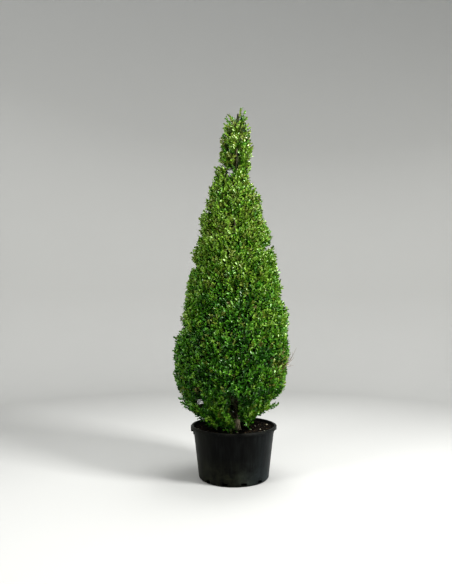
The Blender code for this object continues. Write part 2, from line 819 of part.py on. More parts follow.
def main():
    clear_scene()
    plant = new_collection("potted_cone_tree")
    cutters = new_collection("cutters")
    build_pot(plant, cutters)
    build_soil(plant)
    bark = material("grey_bark", BARK_COLOUR, BARK_ROUGHNESS)
    build_trunk(plant, bark)
    clearance = trunk_clearance(cutters)
    rng = random.Random(SEED)
    leaves = 0
    for cell in cells():
        mat = leaf_material(cell, rng)
        heading = None
        if cell.tier < TIERS_ON_BOUGHS:
            heading = build_bough(cell, rng, clearance, plant, bark)
        leaves += build_mass(cell, heading, clearance, plant, mat)
    faces = sum(len(item.data.polygons) for item in plant.objects)
    print("leaves", leaves, "nodes", len(plant.objects), "polygons", faces)


main()
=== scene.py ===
# %% [markdown]
# # A tall clipped tree in a black nursery tub
#
# A plain solid model of this plant exists already: a tub, the soil in it, one trunk, 21 boughs and
# 28 masses of foliage with a few enlarged leaves each. This lesson dresses it for a photograph. Each
# piece made here stands in the place of one or more of those solids, so the solids are loaded first
# and their box is kept, to compare the dressed plant with it at the end.

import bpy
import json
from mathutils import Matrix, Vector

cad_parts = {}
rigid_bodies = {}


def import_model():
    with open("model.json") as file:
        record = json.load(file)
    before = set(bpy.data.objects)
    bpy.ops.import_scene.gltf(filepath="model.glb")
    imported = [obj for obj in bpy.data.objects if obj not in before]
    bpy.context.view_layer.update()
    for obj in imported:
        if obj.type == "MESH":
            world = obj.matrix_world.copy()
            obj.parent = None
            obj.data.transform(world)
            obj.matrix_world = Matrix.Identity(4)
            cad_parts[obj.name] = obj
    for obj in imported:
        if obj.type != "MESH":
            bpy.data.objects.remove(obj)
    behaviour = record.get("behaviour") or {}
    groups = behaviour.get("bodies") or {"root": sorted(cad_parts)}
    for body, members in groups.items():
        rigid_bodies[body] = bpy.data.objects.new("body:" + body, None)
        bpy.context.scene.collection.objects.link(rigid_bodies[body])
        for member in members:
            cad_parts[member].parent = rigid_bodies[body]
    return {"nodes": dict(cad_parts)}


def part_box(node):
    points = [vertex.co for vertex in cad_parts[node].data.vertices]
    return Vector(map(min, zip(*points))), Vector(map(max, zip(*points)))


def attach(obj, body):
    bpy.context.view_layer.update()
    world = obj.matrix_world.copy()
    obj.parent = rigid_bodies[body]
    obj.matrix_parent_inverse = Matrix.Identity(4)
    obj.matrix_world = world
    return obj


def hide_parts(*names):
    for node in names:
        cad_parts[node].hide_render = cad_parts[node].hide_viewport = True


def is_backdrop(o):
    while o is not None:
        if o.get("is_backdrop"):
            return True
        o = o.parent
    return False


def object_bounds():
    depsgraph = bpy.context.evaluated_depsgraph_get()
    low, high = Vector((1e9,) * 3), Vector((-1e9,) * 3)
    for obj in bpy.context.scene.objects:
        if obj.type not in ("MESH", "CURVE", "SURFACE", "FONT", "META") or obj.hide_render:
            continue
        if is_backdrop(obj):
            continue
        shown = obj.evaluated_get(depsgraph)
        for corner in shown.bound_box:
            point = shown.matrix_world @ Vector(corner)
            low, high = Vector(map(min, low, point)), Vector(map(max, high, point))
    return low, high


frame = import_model()
solid_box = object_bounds()
foliage_nodes = sorted(name for name in frame["nodes"] if name.startswith("foliage"))
bough_nodes = sorted(name for name in frame["nodes"] if name.startswith("bough"))
print("solids:", len(frame["nodes"]), "foliage:", len(foliage_nodes), "boughs:", len(bough_nodes))

# %% [markdown]
# ## The camera
#
# The plant is seen from head height, five and a half metres away, by a lens that looks up slightly.
# The tub's rim and foot show as two ellipses, and their shapes give the camera's height, tilt and
# distance. A sensor's size is laid along the picture's longer side, which is the upright one here.

# %% Place the camera
import math

import bpy

PHOTO_HEIGHT = 584
FOCAL_LENGTH_IN_PIXELS = 500
SENSOR_SIZE = 36
CAMERA_PLACE = (-0.085, -5.55, 1.71)
CAMERA_TILT = math.radians(3.1)

lens = bpy.data.cameras.new("camera")
lens.sensor_width = SENSOR_SIZE
lens.lens = SENSOR_SIZE * FOCAL_LENGTH_IN_PIXELS / PHOTO_HEIGHT
camera = bpy.data.objects.new("camera", lens)
camera.location = CAMERA_PLACE
camera.rotation_euler = (math.radians(90) + CAMERA_TILT, 0, 0)
bpy.context.scene.collection.objects.link(camera)
bpy.context.scene.camera = camera
print("lens in mm:", round(lens.lens, 2))

# %% [markdown]
# ## Helpers for nodes and meshes
#
# Materials and Geometry Nodes are both trees of nodes, so one helper adds a node, sets its choices,
# and fills its inputs with values or links. A modifier's result is turned into a plain mesh before it
# is used, because instances and modifiers don't survive an export.

# %% Nodes: one helper for every tree
def add_node(tree, kind, inputs=None, **choices):
    """Add a node. An input that is given a socket is linked to it, and any other is typed in."""
    node = tree.nodes.new(kind)
    for name, choice in choices.items():
        setattr(node, name, choice)
    for place, value in (inputs or {}).items():
        if isinstance(value, bpy.types.NodeSocket):
            tree.links.new(value, node.inputs[place])
        else:
            node.inputs[place].default_value = value
    return node


def output(tree, kind, inputs=None, **choices):
    """The first output of a new node."""
    return add_node(tree, kind, inputs, **choices).outputs[0]


def combine(tree, operation, first, second):
    """Two numbers put together by one operation."""
    return output(tree, "ShaderNodeMath", {0: first, 1: second}, operation=operation)


def axes_of(tree, vector):
    """A vector's X, Y and Z."""
    return add_node(tree, "ShaderNodeSeparateXYZ", {"Vector": vector}).outputs


def share_between(tree, value, start, end, low=0.0, high=1.0):
    """Where a value lies on its way from a start to an end, as a share from low to high."""
    ends = {"Value": value, "From Min": start, "From Max": end, "To Min": low, "To Max": high}
    return output(tree, "ShaderNodeMapRange", ends)


def grain_at(tree, place, scale, detail, roughness=0.6):
    """Noise from 0 to 1 at a place."""
    values = {"Vector": place, "Scale": scale, "Detail": detail, "Roughness": roughness}
    return output(tree, "ShaderNodeTexNoise", values)


# %% Materials: places, colours and bumps
def new_material(name, **values):
    """A material whose shader's inputs are typed in by name."""
    material = bpy.data.materials.new(name)
    material.use_nodes = True
    shader = material.node_tree.nodes["Principled BSDF"]
    for place, value in values.items():
        shader.inputs[place.replace("_", " ")].default_value = value
    return material, material.node_tree, shader


def surface_place(tree):
    """Where a point of the surface lies in its own object."""
    return add_node(tree, "ShaderNodeTexCoord").outputs["Object"]


def stretched(tree, place, across, upwards):
    """A place scaled apart across and upwards, for grain that runs upright."""
    return output(tree, "ShaderNodeMapping", {"Vector": place, "Scale": (across, across, upwards)})


def mixed(tree, share, first, second):
    colours = {0: share, 6: first, 7: second}
    return add_node(tree, "ShaderNodeMix", colours, data_type="RGBA").outputs[2]


def dented(tree, shader, grain, strength, depth):
    """Let grain push a material's surface in and out."""
    values = {"Strength": strength, "Distance": depth, "Height": grain}
    tree.links.new(output(tree, "ShaderNodeBump", values), shader.inputs["Normal"])


# %% Meshes: link, bake and turn
import bmesh
from mathutils import Matrix, Vector, noise

MERGE_DISTANCE = 0.00002


def add_object(name, data):
    item = bpy.data.objects.new(name, data)
    bpy.context.scene.collection.objects.link(item)
    return item


def to_mesh(name, shape):
    """Turn a bmesh into a mesh, and let the bmesh go."""
    mesh = bpy.data.meshes.new(name)
    shape.to_mesh(mesh)
    shape.free()
    return mesh


def bake(item):
    """Swap an object for a plain one that holds what its modifiers make."""
    graph = bpy.context.evaluated_depsgraph_get()
    mesh = bpy.data.meshes.new_from_object(item.evaluated_get(graph))
    name = item.name
    bpy.data.objects.remove(item, do_unlink=True)
    mesh.name = name
    return add_object(name, mesh)


def turned(name, profile, steps, material):
    """Turn a profile of (radius, height) pairs about the plant's upright axis."""
    outline = bmesh.new()
    points = [outline.verts.new((radius, 0, height)) for radius, height in profile]
    for first, second in zip(points, points[1:]):
        outline.edges.new((first, second))
    item = add_object(name, to_mesh(name, outline))
    screw = item.modifiers.new("turn", "SCREW")
    screw.steps = screw.render_steps = steps
    screw.use_merge_vertices = True
    screw.merge_threshold = MERGE_DISTANCE
    item = bake(item)
    item.data.materials.append(material)
    item.data.shade_smooth()
    return item


def arc(centre_radius, centre_height, size, start, end, steps):
    """Points on a round stretch of a profile, from one angle to another in degrees."""
    for step in range(steps + 1):
        angle = math.radians(start + (end - start) * step / steps)
        yield centre_radius + size * math.cos(angle), centre_height + size * math.sin(angle)


# %% Pieces: how each one joins the plant
def join_plant(piece, slot, *nodes):
    """A finished piece rides with the plant and stands for solids, which are hidden; its slot is not
    used.
    """
    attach(piece, "root")
    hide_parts(*nodes)
    print(piece.name, "triangles:", sum(len(face.vertices) - 2 for face in piece.data.polygons))


# %% [markdown]
# ## The studio
#
# A plain pale floor that sweeps up into a wall all round is the quietest background: it has no corner
# and looks the same from every side. It is one turned profile. The light is soft and comes mostly from
# the right, so the left of the plant falls into shade, as it does in the picture.

# %% Floor and wall
FLOOR_RADIUS = 6.5
SWEEP_RADIUS = 2.5
SWEEP_STEPS = 16
WALL_HEIGHT = 13.0
STUDIO_STEPS = 96
STUDIO_PAINT = (0.50, 0.50, 0.485, 1)

profile = [(0, 0), (FLOOR_RADIUS, 0)]
profile += arc(FLOOR_RADIUS, SWEEP_RADIUS, SWEEP_RADIUS, -90, 0, SWEEP_STEPS)
profile += [(FLOOR_RADIUS + SWEEP_RADIUS, WALL_HEIGHT)]
paint = new_material("pale_paint", Base_Color=STUDIO_PAINT, Roughness=0.8)[0]
studio = turned("studio", profile, STUDIO_STEPS, paint)
studio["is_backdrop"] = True
print("studio width:", 2 * (FLOOR_RADIUS + SWEEP_RADIUS))

# %% Lights and air
# Each light's place, size and power.
LIGHTS = {
    "key": ((4.4, -3.0, 6.2), 1.6, 640),
    "fill": ((-3.4, -3.2, 4.8), 1.4, 135),
    "low": ((4.4, -3.4, 0.9), 1.2, 62),
    "top": ((0.8, 1.2, 8.2), 3.0, 280),
}
LIGHTS_AIM = Vector((0, 0, 1.9))
AIR_COLOUR = (0.82, 0.84, 0.865, 1)
AIR_STRENGTH = 0.71

for name, (place, size, power) in LIGHTS.items():
    lamp = bpy.data.lights.new(name, "AREA")
    lamp.size = size
    lamp.energy = power
    item = add_object(name, lamp)
    item.location = place
    item.rotation_euler = (LIGHTS_AIM - Vector(place)).to_track_quat("-Z", "Y").to_euler()
world = bpy.data.worlds.new("air")
world.use_nodes = True
air = world.node_tree.nodes["Background"]
air.inputs["Color"].default_value = AIR_COLOUR
air.inputs["Strength"].default_value = AIR_STRENGTH
bpy.context.scene.world = world
bpy.context.scene.view_settings.view_transform = "Standard"
bpy.context.scene.view_settings.look = "Medium High Contrast"
print("lights:", ", ".join(LIGHTS))

# %% [markdown]
# ## The tub
#
# The real tub is blow-moulded black plastic. Its wall widens upwards and is folded over at the rim, so
# that the rim stands out all round, and two grips with a bracket under them stand out further. The foot
# is rounded and has drain slots. A turned profile with its round stretches as arcs gives the wall, the
# fold and the foot. Curved blocks are fused to it for the grips, and boxes are cut out for the slots.

# %% Sizes of the tub
TUB_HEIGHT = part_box("pot")[1].z
RIM_RADIUS = 0.465
RIM_ROUNDING = 0.009
FOLD_FOOT = TUB_HEIGHT - 0.028
FOLD_TOP = TUB_HEIGHT - 0.004
FOLD_WALL = 0.004
WALL_FOOT_RADIUS = 0.377
WALL_SLOPE = 0.121
WALL_THICKNESS = 0.005
TUB_FLOOR = 0.006
FOOT_ROUNDING = 0.022
EDGE_ROUNDING = 0.002
TUB_STEPS = 192


def wall_radius(height):
    return WALL_FOOT_RADIUS + WALL_SLOPE * height


print("tub height:", round(TUB_HEIGHT, 3), "radius at the fold:", round(wall_radius(FOLD_FOOT), 3))

# %% [markdown]
# Black plastic is rarely plain black. Years outdoors leave faint upright streaks where water ran down
# and pale scuffs, dust low on the wall and along the rim, and splashes of earth at the foot. A painted
# sheen lightens the right and left sides of the wall, bluish on the right and brown on the left, and the
# dust low on the wall takes the same tones. Each kind is one layer: a colour, a range of places that it
# fades in over, and noise that breaks it up.

# %% Finish of the tub
PLASTIC_BLACK = (0.0012, 0.0014, 0.0012, 1)
PLASTIC_WORN = (0.0060, 0.0070, 0.0065, 1)
# The bluish and the brown colour make the painted sheen on the right and left sides and the dust low on
# the wall; the brown also colours the splashes of earth.
BLUISH_DUST_AND_SHEEN = (0.029, 0.038, 0.041, 1)
BROWN_DUST_AND_SHEEN = (0.031, 0.034, 0.018, 1)
RIM_DUST = (0.021, 0.020, 0.016, 1)
SPLASH_SHARPNESS = 12


def tub_finish():
    material, tree, shader = new_material("tub_plastic", Specular_IOR_Level=0.08)
    place = surface_place(tree)
    axes = axes_of(tree, place)
    upright = stretched(tree, place, across=36, upwards=1.8)
    streaks = grain_at(tree, upright, scale=1, detail=5)
    clouds = grain_at(tree, place, scale=7, detail=8, roughness=0.7)
    specks = grain_at(tree, place, scale=120, detail=3)
    streak = share_between(tree, streaks, 0.45, 0.75)
    cloud = share_between(tree, clouds, 0.40, 0.70)
    splash_level = share_between(tree, axes["Z"], 0.12, 0.0, 0.80, 0.56)
    splash = combine(tree, "SUBTRACT", specks, splash_level)
    splash = combine(tree, "MULTIPLY", splash, SPLASH_SHARPNESS)
    # Painted sheen and dust tone: brown towards the left side, bluish towards the right.
    dust_and_sheen_tone = mixed(tree, share_between(tree, axes["X"], -0.05, 0.28), BROWN_DUST_AND_SHEEN, BLUISH_DUST_AND_SHEEN)
    # The right and left layers paint a sheen on the sides of the wall; the low, splash and rim layers
    # are dust and earth.
    layers = {
        "right": (share_between(tree, axes["X"], 0.10, 0.42, 0.0, 0.50), streaks, dust_and_sheen_tone),
        "left": (share_between(tree, axes["X"], -0.20, -0.44, 0.0, 0.45), streaks, dust_and_sheen_tone),
        "low": (share_between(tree, axes["Z"], 0.30, 0.03, 0.0, 0.95), cloud, dust_and_sheen_tone),
        "splashes": (share_between(tree, splash, 0.0, 1.0, 0.0, 0.8), 1.0, BROWN_DUST_AND_SHEEN),
        "rim": (share_between(tree, axes["Z"], FOLD_FOOT, TUB_HEIGHT), cloud, RIM_DUST),
    }
    colour = mixed(tree, streak, PLASTIC_BLACK, PLASTIC_WORN)
    for reach, pattern, layer_colour in layers.values():
        colour = mixed(tree, combine(tree, "MULTIPLY", reach, pattern), colour, layer_colour)
    tree.links.new(colour, shader.inputs["Base Color"])
    tree.links.new(share_between(tree, clouds, 0.3, 0.7, 0.32, 0.50), shader.inputs["Roughness"])
    dented(tree, shader, specks, strength=0.25, depth=0.001)
    return material


# %% The tub's profile
def tub_profile():
    """Over the rim from the inside, down the wall to the foot, and back up the inner side."""
    turn = EDGE_ROUNDING
    inner_rim = wall_radius(TUB_HEIGHT) - WALL_THICKNESS
    foot_centre = wall_radius(FOOT_ROUNDING) - FOOT_ROUNDING
    yield inner_rim, TUB_HEIGHT - turn
    yield from arc(inner_rim + turn, TUB_HEIGHT - turn, turn, 180, 90, 3)
    yield from arc(RIM_RADIUS - RIM_ROUNDING, TUB_HEIGHT - RIM_ROUNDING, RIM_ROUNDING, 90, 0, 6)
    yield from arc(RIM_RADIUS, FOLD_FOOT + turn, turn, 0, -180, 6)
    yield RIM_RADIUS - FOLD_WALL, TUB_HEIGHT - RIM_ROUNDING
    yield RIM_RADIUS - RIM_ROUNDING, FOLD_TOP
    yield wall_radius(FOLD_TOP), FOLD_TOP
    yield from arc(foot_centre, FOOT_ROUNDING, FOOT_ROUNDING, 0, -90, 8)
    yield 0, 0
    yield 0, TUB_FLOOR
    yield wall_radius(TUB_FLOOR) - WALL_THICKNESS - FOOT_ROUNDING / 2, TUB_FLOOR
    yield wall_radius(FOOT_ROUNDING) - WALL_THICKNESS, FOOT_ROUNDING
    yield inner_rim, TUB_HEIGHT - turn


print("points in the tub's profile:", len(list(tub_profile())))

# %% Grips, brackets and drain slots
GRIP_AZIMUTHS = (math.radians(6), math.radians(186))
GRIP_HALF_ANGLE = math.radians(6.5)
GRIP_HEIGHT = 0.054
GRIP_RADIUS = 0.469
GRIP_CUTS = 5
GRIP_ROUNDING = 0.003
BRACKET_HALF_ANGLE = math.radians(4)
BRACKET_HEIGHT = 0.036
BRACKET_DEPTH = 0.010
DRAIN_SLOTS = 12
SLOT_WIDTH = 0.060
SLOT_LOW = 0.012
SLOT_HIGH = 0.040
SLOT_DEPTH = 0.030
SLOT_ROUNDING = 0.006
ROUNDING_STEPS = 3


def curved_blocks(name, half_angle, foot, top, radius):
    """Blocks that start in the middle of the wall, follow its curve and stand out to a radius."""
    blocks = bmesh.new()
    for azimuth in GRIP_AZIMUTHS:
        block = bmesh.new()
        bmesh.ops.create_cube(block, size=1)
        along_wall = [e for e in block.edges if abs(e.verts[0].co.y - e.verts[1].co.y) > 0.5]
        bmesh.ops.subdivide_edges(block, edges=along_wall, cuts=GRIP_CUTS, use_grid_fill=True)
        for vert in block.verts:
            height = foot + (top - foot) * (vert.co.z + 0.5)
            inner = wall_radius(height) - 0.5 * WALL_THICKNESS
            reach = inner + (radius - inner) * (vert.co.x + 0.5)
            turn = azimuth + 2 * half_angle * vert.co.y
            vert.co = (reach * math.cos(turn), reach * math.sin(turn), height)
        blocks.from_mesh(to_mesh(name, block))
    item = add_object(name, to_mesh(name, blocks))
    rounding = item.modifiers.new("rounding", "BEVEL")
    rounding.width = GRIP_ROUNDING
    rounding.segments = ROUNDING_STEPS
    return item


def slot_cutters():
    boxes = bmesh.new()
    size = Matrix.Diagonal((SLOT_DEPTH, SLOT_WIDTH, SLOT_HIGH - SLOT_LOW, 1))
    place = Matrix.Translation((wall_radius(SLOT_LOW), 0, (SLOT_LOW + SLOT_HIGH) / 2))
    for slot in range(DRAIN_SLOTS):
        turn = Matrix.Rotation(2 * math.pi * (slot + 0.5) / DRAIN_SLOTS, 4, "Z")
        bmesh.ops.create_cube(boxes, size=1, matrix=turn @ place @ size)
    edges = boxes.edges[:]
    steps = ROUNDING_STEPS
    bmesh.ops.bevel(boxes, geom=edges, offset=SLOT_ROUNDING, segments=steps, profile=0.5, affect="EDGES")
    return add_object("slots", to_mesh("slots", boxes))


print("grips:", len(GRIP_AZIMUTHS), "drain slots:", DRAIN_SLOTS)

# %% Put the tub together
SHARP_ANGLE = math.radians(40)


def combine_with(item, other, operation):
    """Join another solid to an object, or cut it out, and put it away."""
    change = item.modifiers.new("change", "BOOLEAN")
    change.operation = operation
    change.object = other
    item = bake(item)
    bpy.data.objects.remove(other, do_unlink=True)
    return item


grip_foot = TUB_HEIGHT - GRIP_HEIGHT
bracket_foot = grip_foot - BRACKET_HEIGHT
bracket_radius = wall_radius(bracket_foot) + BRACKET_DEPTH
changes = (
    (curved_blocks("grips", GRIP_HALF_ANGLE, grip_foot, FOLD_TOP, GRIP_RADIUS), "UNION"),
    (curved_blocks("brackets", BRACKET_HALF_ANGLE, bracket_foot, FOLD_FOOT, bracket_radius), "UNION"),
    (slot_cutters(), "DIFFERENCE"),
)
tub = turned("tub", list(tub_profile()), TUB_STEPS, tub_finish())
for other, operation in changes:
    tub = combine_with(tub, other, operation)
tub.data.shade_smooth()
tub.data.set_sharp_from_angle(angle=SHARP_ANGLE)
join_plant(tub, "tub", "pot")

# %% [markdown]
# ## The soil
#
# Potting soil is a mix of dark crumbs, chips of bark and a few pale stones. The bed is one closed
# turned shape, level round the trunk and higher towards the wall, that noise makes uneven. Crumbs are
# scattered over it by Geometry Nodes: points at an even density, a small rounded lump on each with its
# own turn and size, and noise on the lumps once they are real, so that no two are alike.

# %% Soil bed
SOIL_LEVEL = 0.500
SOIL_RISE = 0.030
SOIL_DISH = ((0.14, 0.0), (0.36, 0.66), (0.436, 1.0))
SOIL_RINGS = 56
SOIL_STEPS = 160
SOIL_BED_DEPTH = 0.05
SOIL_GAP = 0.0006
SOIL_UNEVENNESS = 0.006
SOIL_UNEVEN_SCALE = 30
SOIL_EDGE = wall_radius(SOIL_LEVEL + SOIL_RISE) - WALL_THICKNESS
# Each kind's dark and pale colour, and the size of its specks.
SOIL_KINDS = {
    "earth": ((0.003, 0.0025, 0.0015, 1), (0.014, 0.0105, 0.006, 1), 0.010),
    "crumbs": ((0.0025, 0.002, 0.0015, 1), (0.021, 0.015, 0.009, 1), 0.012),
    "chips": ((0.010, 0.006, 0.0035, 1), (0.15, 0.10, 0.052, 1), 0.015),
    "stone": ((0.45, 0.42, 0.30, 1), (0.85, 0.80, 0.62, 1), 0.010),
}


def blend(pairs, place):
    """The value at a place between the points of an outline."""
    if place <= pairs[0][0]:
        return pairs[0][1]
    for (low, low_value), (high, high_value) in zip(pairs, pairs[1:]):
        if place <= high:
            return low_value + (high_value - low_value) * (place - low) / (high - low)
    return pairs[-1][1]


def soil_finish(kind):
    dark, pale, size = SOIL_KINDS[kind]
    material, tree, shader = new_material(kind, Roughness=0.9, Specular_IOR_Level=0.2)
    specks = grain_at(tree, surface_place(tree), scale=1 / size, detail=4, roughness=0.7)
    colour = mixed(tree, share_between(tree, specks, 0.40, 0.70), dark, pale)
    tree.links.new(colour, shader.inputs["Base Color"])
    return material


def soil_height(radius):
    return SOIL_LEVEL + SOIL_RISE * blend(SOIL_DISH, radius)


bed_edge = SOIL_EDGE - SOIL_GAP
bed_foot = SOIL_LEVEL - SOIL_BED_DEPTH
radii = [bed_edge * ring / SOIL_RINGS for ring in range(SOIL_RINGS + 1)]
bed_profile = [(radius, soil_height(radius)) for radius in radii]
bed_profile += [(wall_radius(bed_foot) - WALL_THICKNESS - SOIL_GAP, bed_foot), (0, bed_foot)]
soil_bed = turned("soil_bed", bed_profile, SOIL_STEPS, soil_finish("earth"))
for vert in soil_bed.data.vertices:
    if vert.co.z > bed_foot + 0.01 and vert.co.xy.length < bed_edge - 0.001:
        vert.co.z += SOIL_UNEVENNESS * noise.noise(vert.co * SOIL_UNEVEN_SCALE)
join_plant(soil_bed, "soil", "soil")

# %% A tree with named inputs, how it ends and how to run it
def new_tree(name, **sockets):
    """An empty tree with a geometry input and output, and the named inputs that are asked for."""
    tree = bpy.data.node_groups.new(name, "GeometryNodeTree")
    for label, kind in {"Start": "Geometry", **sockets}.items():
        label, kind = label.replace("_", " "), "NodeSocket" + kind
        tree.interface.new_socket(name=label, in_out="INPUT", socket_type=kind)
    print(name, "has inputs:", [socket.name for socket in tree.interface.items_tree])
    tree.interface.new_socket(name="Mesh", in_out="OUTPUT", socket_type="NodeSocketGeometry")
    return tree, tree.nodes.new("NodeGroupInput").outputs, tree.nodes.new("NodeGroupOutput").inputs


def finish_tree(tree, result, mesh, material):
    """Every tree ends alike: instances made real, smooth shading, and one material on all of it."""
    real = output(tree, "GeometryNodeRealizeInstances", {"Geometry": mesh})
    smooth = output(tree, "GeometryNodeSetShadeSmooth", {"Geometry": real})
    painted = output(tree, "GeometryNodeSetMaterial", {"Geometry": smooth, "Material": material})
    tree.links.new(painted, result[0])
    return tree


def run_tree(item, tree, **values):
    """Run a tree on an object with its inputs set by identifier, and keep the result as a mesh."""
    modifier = item.modifiers.new("grow", "NODES")
    modifier.node_group = tree
    sockets = {socket.name: socket.identifier for socket in tree.interface.items_tree}
    for label, value in values.items():
        modifier[sockets[label.replace("_", " ")]] = value
    return bake(item)


# %% Vectors in a tree
def combine_vectors(tree, operation, first, second):
    return output(tree, "ShaderNodeVectorMath", {0: first, 1: second}, operation=operation)


def scaled(tree, vector, amount):
    return output(tree, "ShaderNodeVectorMath", {0: vector, "Scale": amount}, operation="SCALE")


def random_vector(tree, low, high, seed):
    limits = {0: low, 1: high, "Seed": seed}
    return output(tree, "FunctionNodeRandomValue", limits, data_type="FLOAT_VECTOR")


def pushed(tree, mesh, push):
    """A mesh with each of its points moved by a push of its own."""
    return output(tree, "GeometryNodeSetPosition", {"Geometry": mesh, "Offset": push})


# %% The tree that scatters lumps
LEVEL_ENOUGH = 0.7
LUMP_LEAST = {"X": 0.5, "Y": 0.35}
LUMP_MOST = (1.5, 1.0, 0.8)
LUMP_DENTS = 0.8


def lump_tree():
    tree, given, result = new_tree(
        "lumps on a surface", Density="Float", Lump_size="Float", Flatness="Float", Room="Float",
        Seed="Int", Finish="Material",
    )
    place = output(tree, "GeometryNodeInputPosition")
    upward = axes_of(tree, output(tree, "GeometryNodeInputNormal"))["Z"]
    is_top = combine(tree, "GREATER_THAN", upward, LEVEL_ENOUGH)
    level = combine_vectors(tree, "MULTIPLY", place, (1, 1, 0))
    from_axis = add_node(tree, "ShaderNodeVectorMath", {0: level}, operation="LENGTH").outputs["Value"]
    has_room = combine(tree, "LESS_THAN", from_axis, given["Room"])
    where = {"Mesh": given["Start"], "Selection": combine(tree, "MULTIPLY", is_top, has_room)}
    many = {"Density": given["Density"], "Seed": given["Seed"]}
    points = output(tree, "GeometryNodeDistributePointsOnFaces", {**where, **many})
    lump = output(tree, "GeometryNodeMeshIcoSphere", {"Radius": 0.5, "Subdivisions": 1})
    turn = random_vector(tree, (-math.pi,) * 3, (math.pi,) * 3, given["Seed"])
    least = output(tree, "ShaderNodeCombineXYZ", {**LUMP_LEAST, "Z": given["Flatness"]})
    size = scaled(tree, random_vector(tree, least, LUMP_MOST, 5), given["Lump size"])
    placing = {"Points": points, "Instance": lump, "Rotation": turn, "Scale": size}
    lumps = output(tree, "GeometryNodeInstanceOnPoints", placing)
    real = output(tree, "GeometryNodeRealizeInstances", {"Geometry": lumps})
    finer = combine(tree, "DIVIDE", 1.0, given["Lump size"])
    dents = add_node(tree, "ShaderNodeTexNoise", {"Vector": place, "Scale": finer, "Detail": 1})
    centred = combine_vectors(tree, "SUBTRACT", dents.outputs["Color"], (0.5, 0.5, 0.5))
    push = scaled(tree, centred, combine(tree, "MULTIPLY", given["Lump size"], LUMP_DENTS))
    return finish_tree(tree, result, pushed(tree, real, push), given["Finish"])


LUMPS = lump_tree()

# %% Crumbs, chips and grit
# Name, kind of soil, how many on a square metre, size and flatness.
LUMP_KINDS = (
    ("crumbs", "crumbs", 9500, 0.012, 0.35), ("chips", "chips", 900, 0.017, 0.25),
    ("grit", "stone", 90, 0.008, 0.5),
)
finishes = {kind: soil_finish(kind) for kind in ("crumbs", "chips", "stone")}


for seed, (name, kind, density, size, flatness) in enumerate(LUMP_KINDS, start=1):
    surface = add_object(name, soil_bed.data.copy())
    sizes = {"Density": density, "Lump_size": size, "Flatness": flatness, "Room": SOIL_EDGE - size}
    lumps = run_tree(surface, LUMPS, Seed=seed, Finish=finishes[kind], **sizes)
    join_plant(lumps, "soil", "soil")

# %% A few larger stones
# The x, y and size of each.
STONES = (
    (0.372, 0.132, 0.016), (-0.387, -0.079, 0.011), (-0.106, -0.294, 0.012), (0.035, -0.180, 0.017),
    (0.179, 0.013, 0.012), (0.182, -0.030, 0.017), (0.322, -0.153, 0.010), (0.285, -0.060, 0.013),
    (-0.300, -0.200, 0.009), (0.240, 0.120, 0.011), (0.120, -0.250, 0.010), (-0.040, -0.330, 0.009),
)
STONE_STRETCH = Matrix.Diagonal((0.75, 0.5, 0.42, 1))
STONE_LIFT = 0.3
STONE_TURN = 1.3


stone_shapes = bmesh.new()
for index, (x, y, size) in enumerate(STONES):
    height = soil_height(math.hypot(x, y)) + STONE_LIFT * size
    turn = Matrix.Rotation(index * STONE_TURN, 4, "Z")
    matrix = Matrix.Translation((x, y, height)) @ turn @ STONE_STRETCH
    bmesh.ops.create_icosphere(stone_shapes, subdivisions=2, radius=size, matrix=matrix)
stones = add_object("stones", to_mesh("stones", stone_shapes))
stones.data.materials.append(finishes["stone"])
stones.data.shade_smooth()
join_plant(stones, "soil", "soil")

# %% [markdown]
# ## The plant's own measures
#
# The solids follow a rule: the outline of the foliage is a table of heights and radii, the trunk is a
# line that leans and comes back, and the crown is a stack of slanted tiers, each shared out among
# sectors like slices of a cake. The same rule is written here again, so that finer limbs, twigs and
# leaves can grow on from it.

# %% The trunk's line
TRUNK_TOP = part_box("trunk")[1].z
TRUNK_FOOT_X = 0.037
TRUNK_LEAN = -0.1035
TRUNK_RETURN = 0.1165
TRUNK_SWAY = 0.012
TRUNK_FOOT_RADIUS = 0.031
TRUNK_TIP_RADIUS = 0.008
TRUNK_TAPER_POWER = 1.6


def between(first, second, share):
    return first + (second - first) * share


def trunk_share(height):
    return min(max((height - SOIL_LEVEL) / (TRUNK_TOP - SOIL_LEVEL), 0), 1)


def trunk_centre(height):
    share = trunk_share(height)
    x = TRUNK_FOOT_X + TRUNK_LEAN * share + TRUNK_RETURN * share * share
    return Vector((x, TRUNK_SWAY * math.sin(2 * math.pi * share), height))


def trunk_radius(height):
    return between(TRUNK_TIP_RADIUS, TRUNK_FOOT_RADIUS, 1 - trunk_share(height) ** TRUNK_TAPER_POWER)


print("trunk from", round(SOIL_LEVEL, 3), "to", round(TRUNK_TOP, 3))

# %% [markdown]
# The clipped outline isn't perfectly even. A few tufts and dents show along both edges of the
# picture. Those are told as small amounts to add to the radius on the left and on the right, by height.
# Shears cut off what stands out but leave the hollows, so noise makes shallow hollows all round.

# %% The outline of the foliage
# The radius at each height, and below it what the left and right edges add to it.
CROWN_OUTLINE = (
    (0.52, 0.24), (0.62, 0.37), (0.76, 0.49), (1.00, 0.59), (1.35, 0.615), (2.00, 0.535),
    (2.48, 0.455), (3.09, 0.29), (3.40, 0.195), (3.68, 0.195), (3.84, 0.155), (4.03, 0.110),
    (4.12, 0.085),
)
LEFT_TUFTS = (
    (0.63, -0.02), (0.70, 0.00), (0.80, 0.028), (0.89, -0.020), (0.98, 0.024), (1.06, 0.034),
    (1.15, 0.032), (1.40, 0.018), (1.50, 0.022), (1.60, -0.030), (1.75, -0.022), (2.40, -0.030),
    (2.68, -0.036), (2.82, 0.018), (2.91, -0.012), (3.00, 0.004), (3.09, 0.00), (3.30, 0.00),
    (3.37, 0.034), (3.43, -0.038), (3.50, -0.010), (3.64, -0.015), (3.78, 0.005), (3.99, -0.015),
)
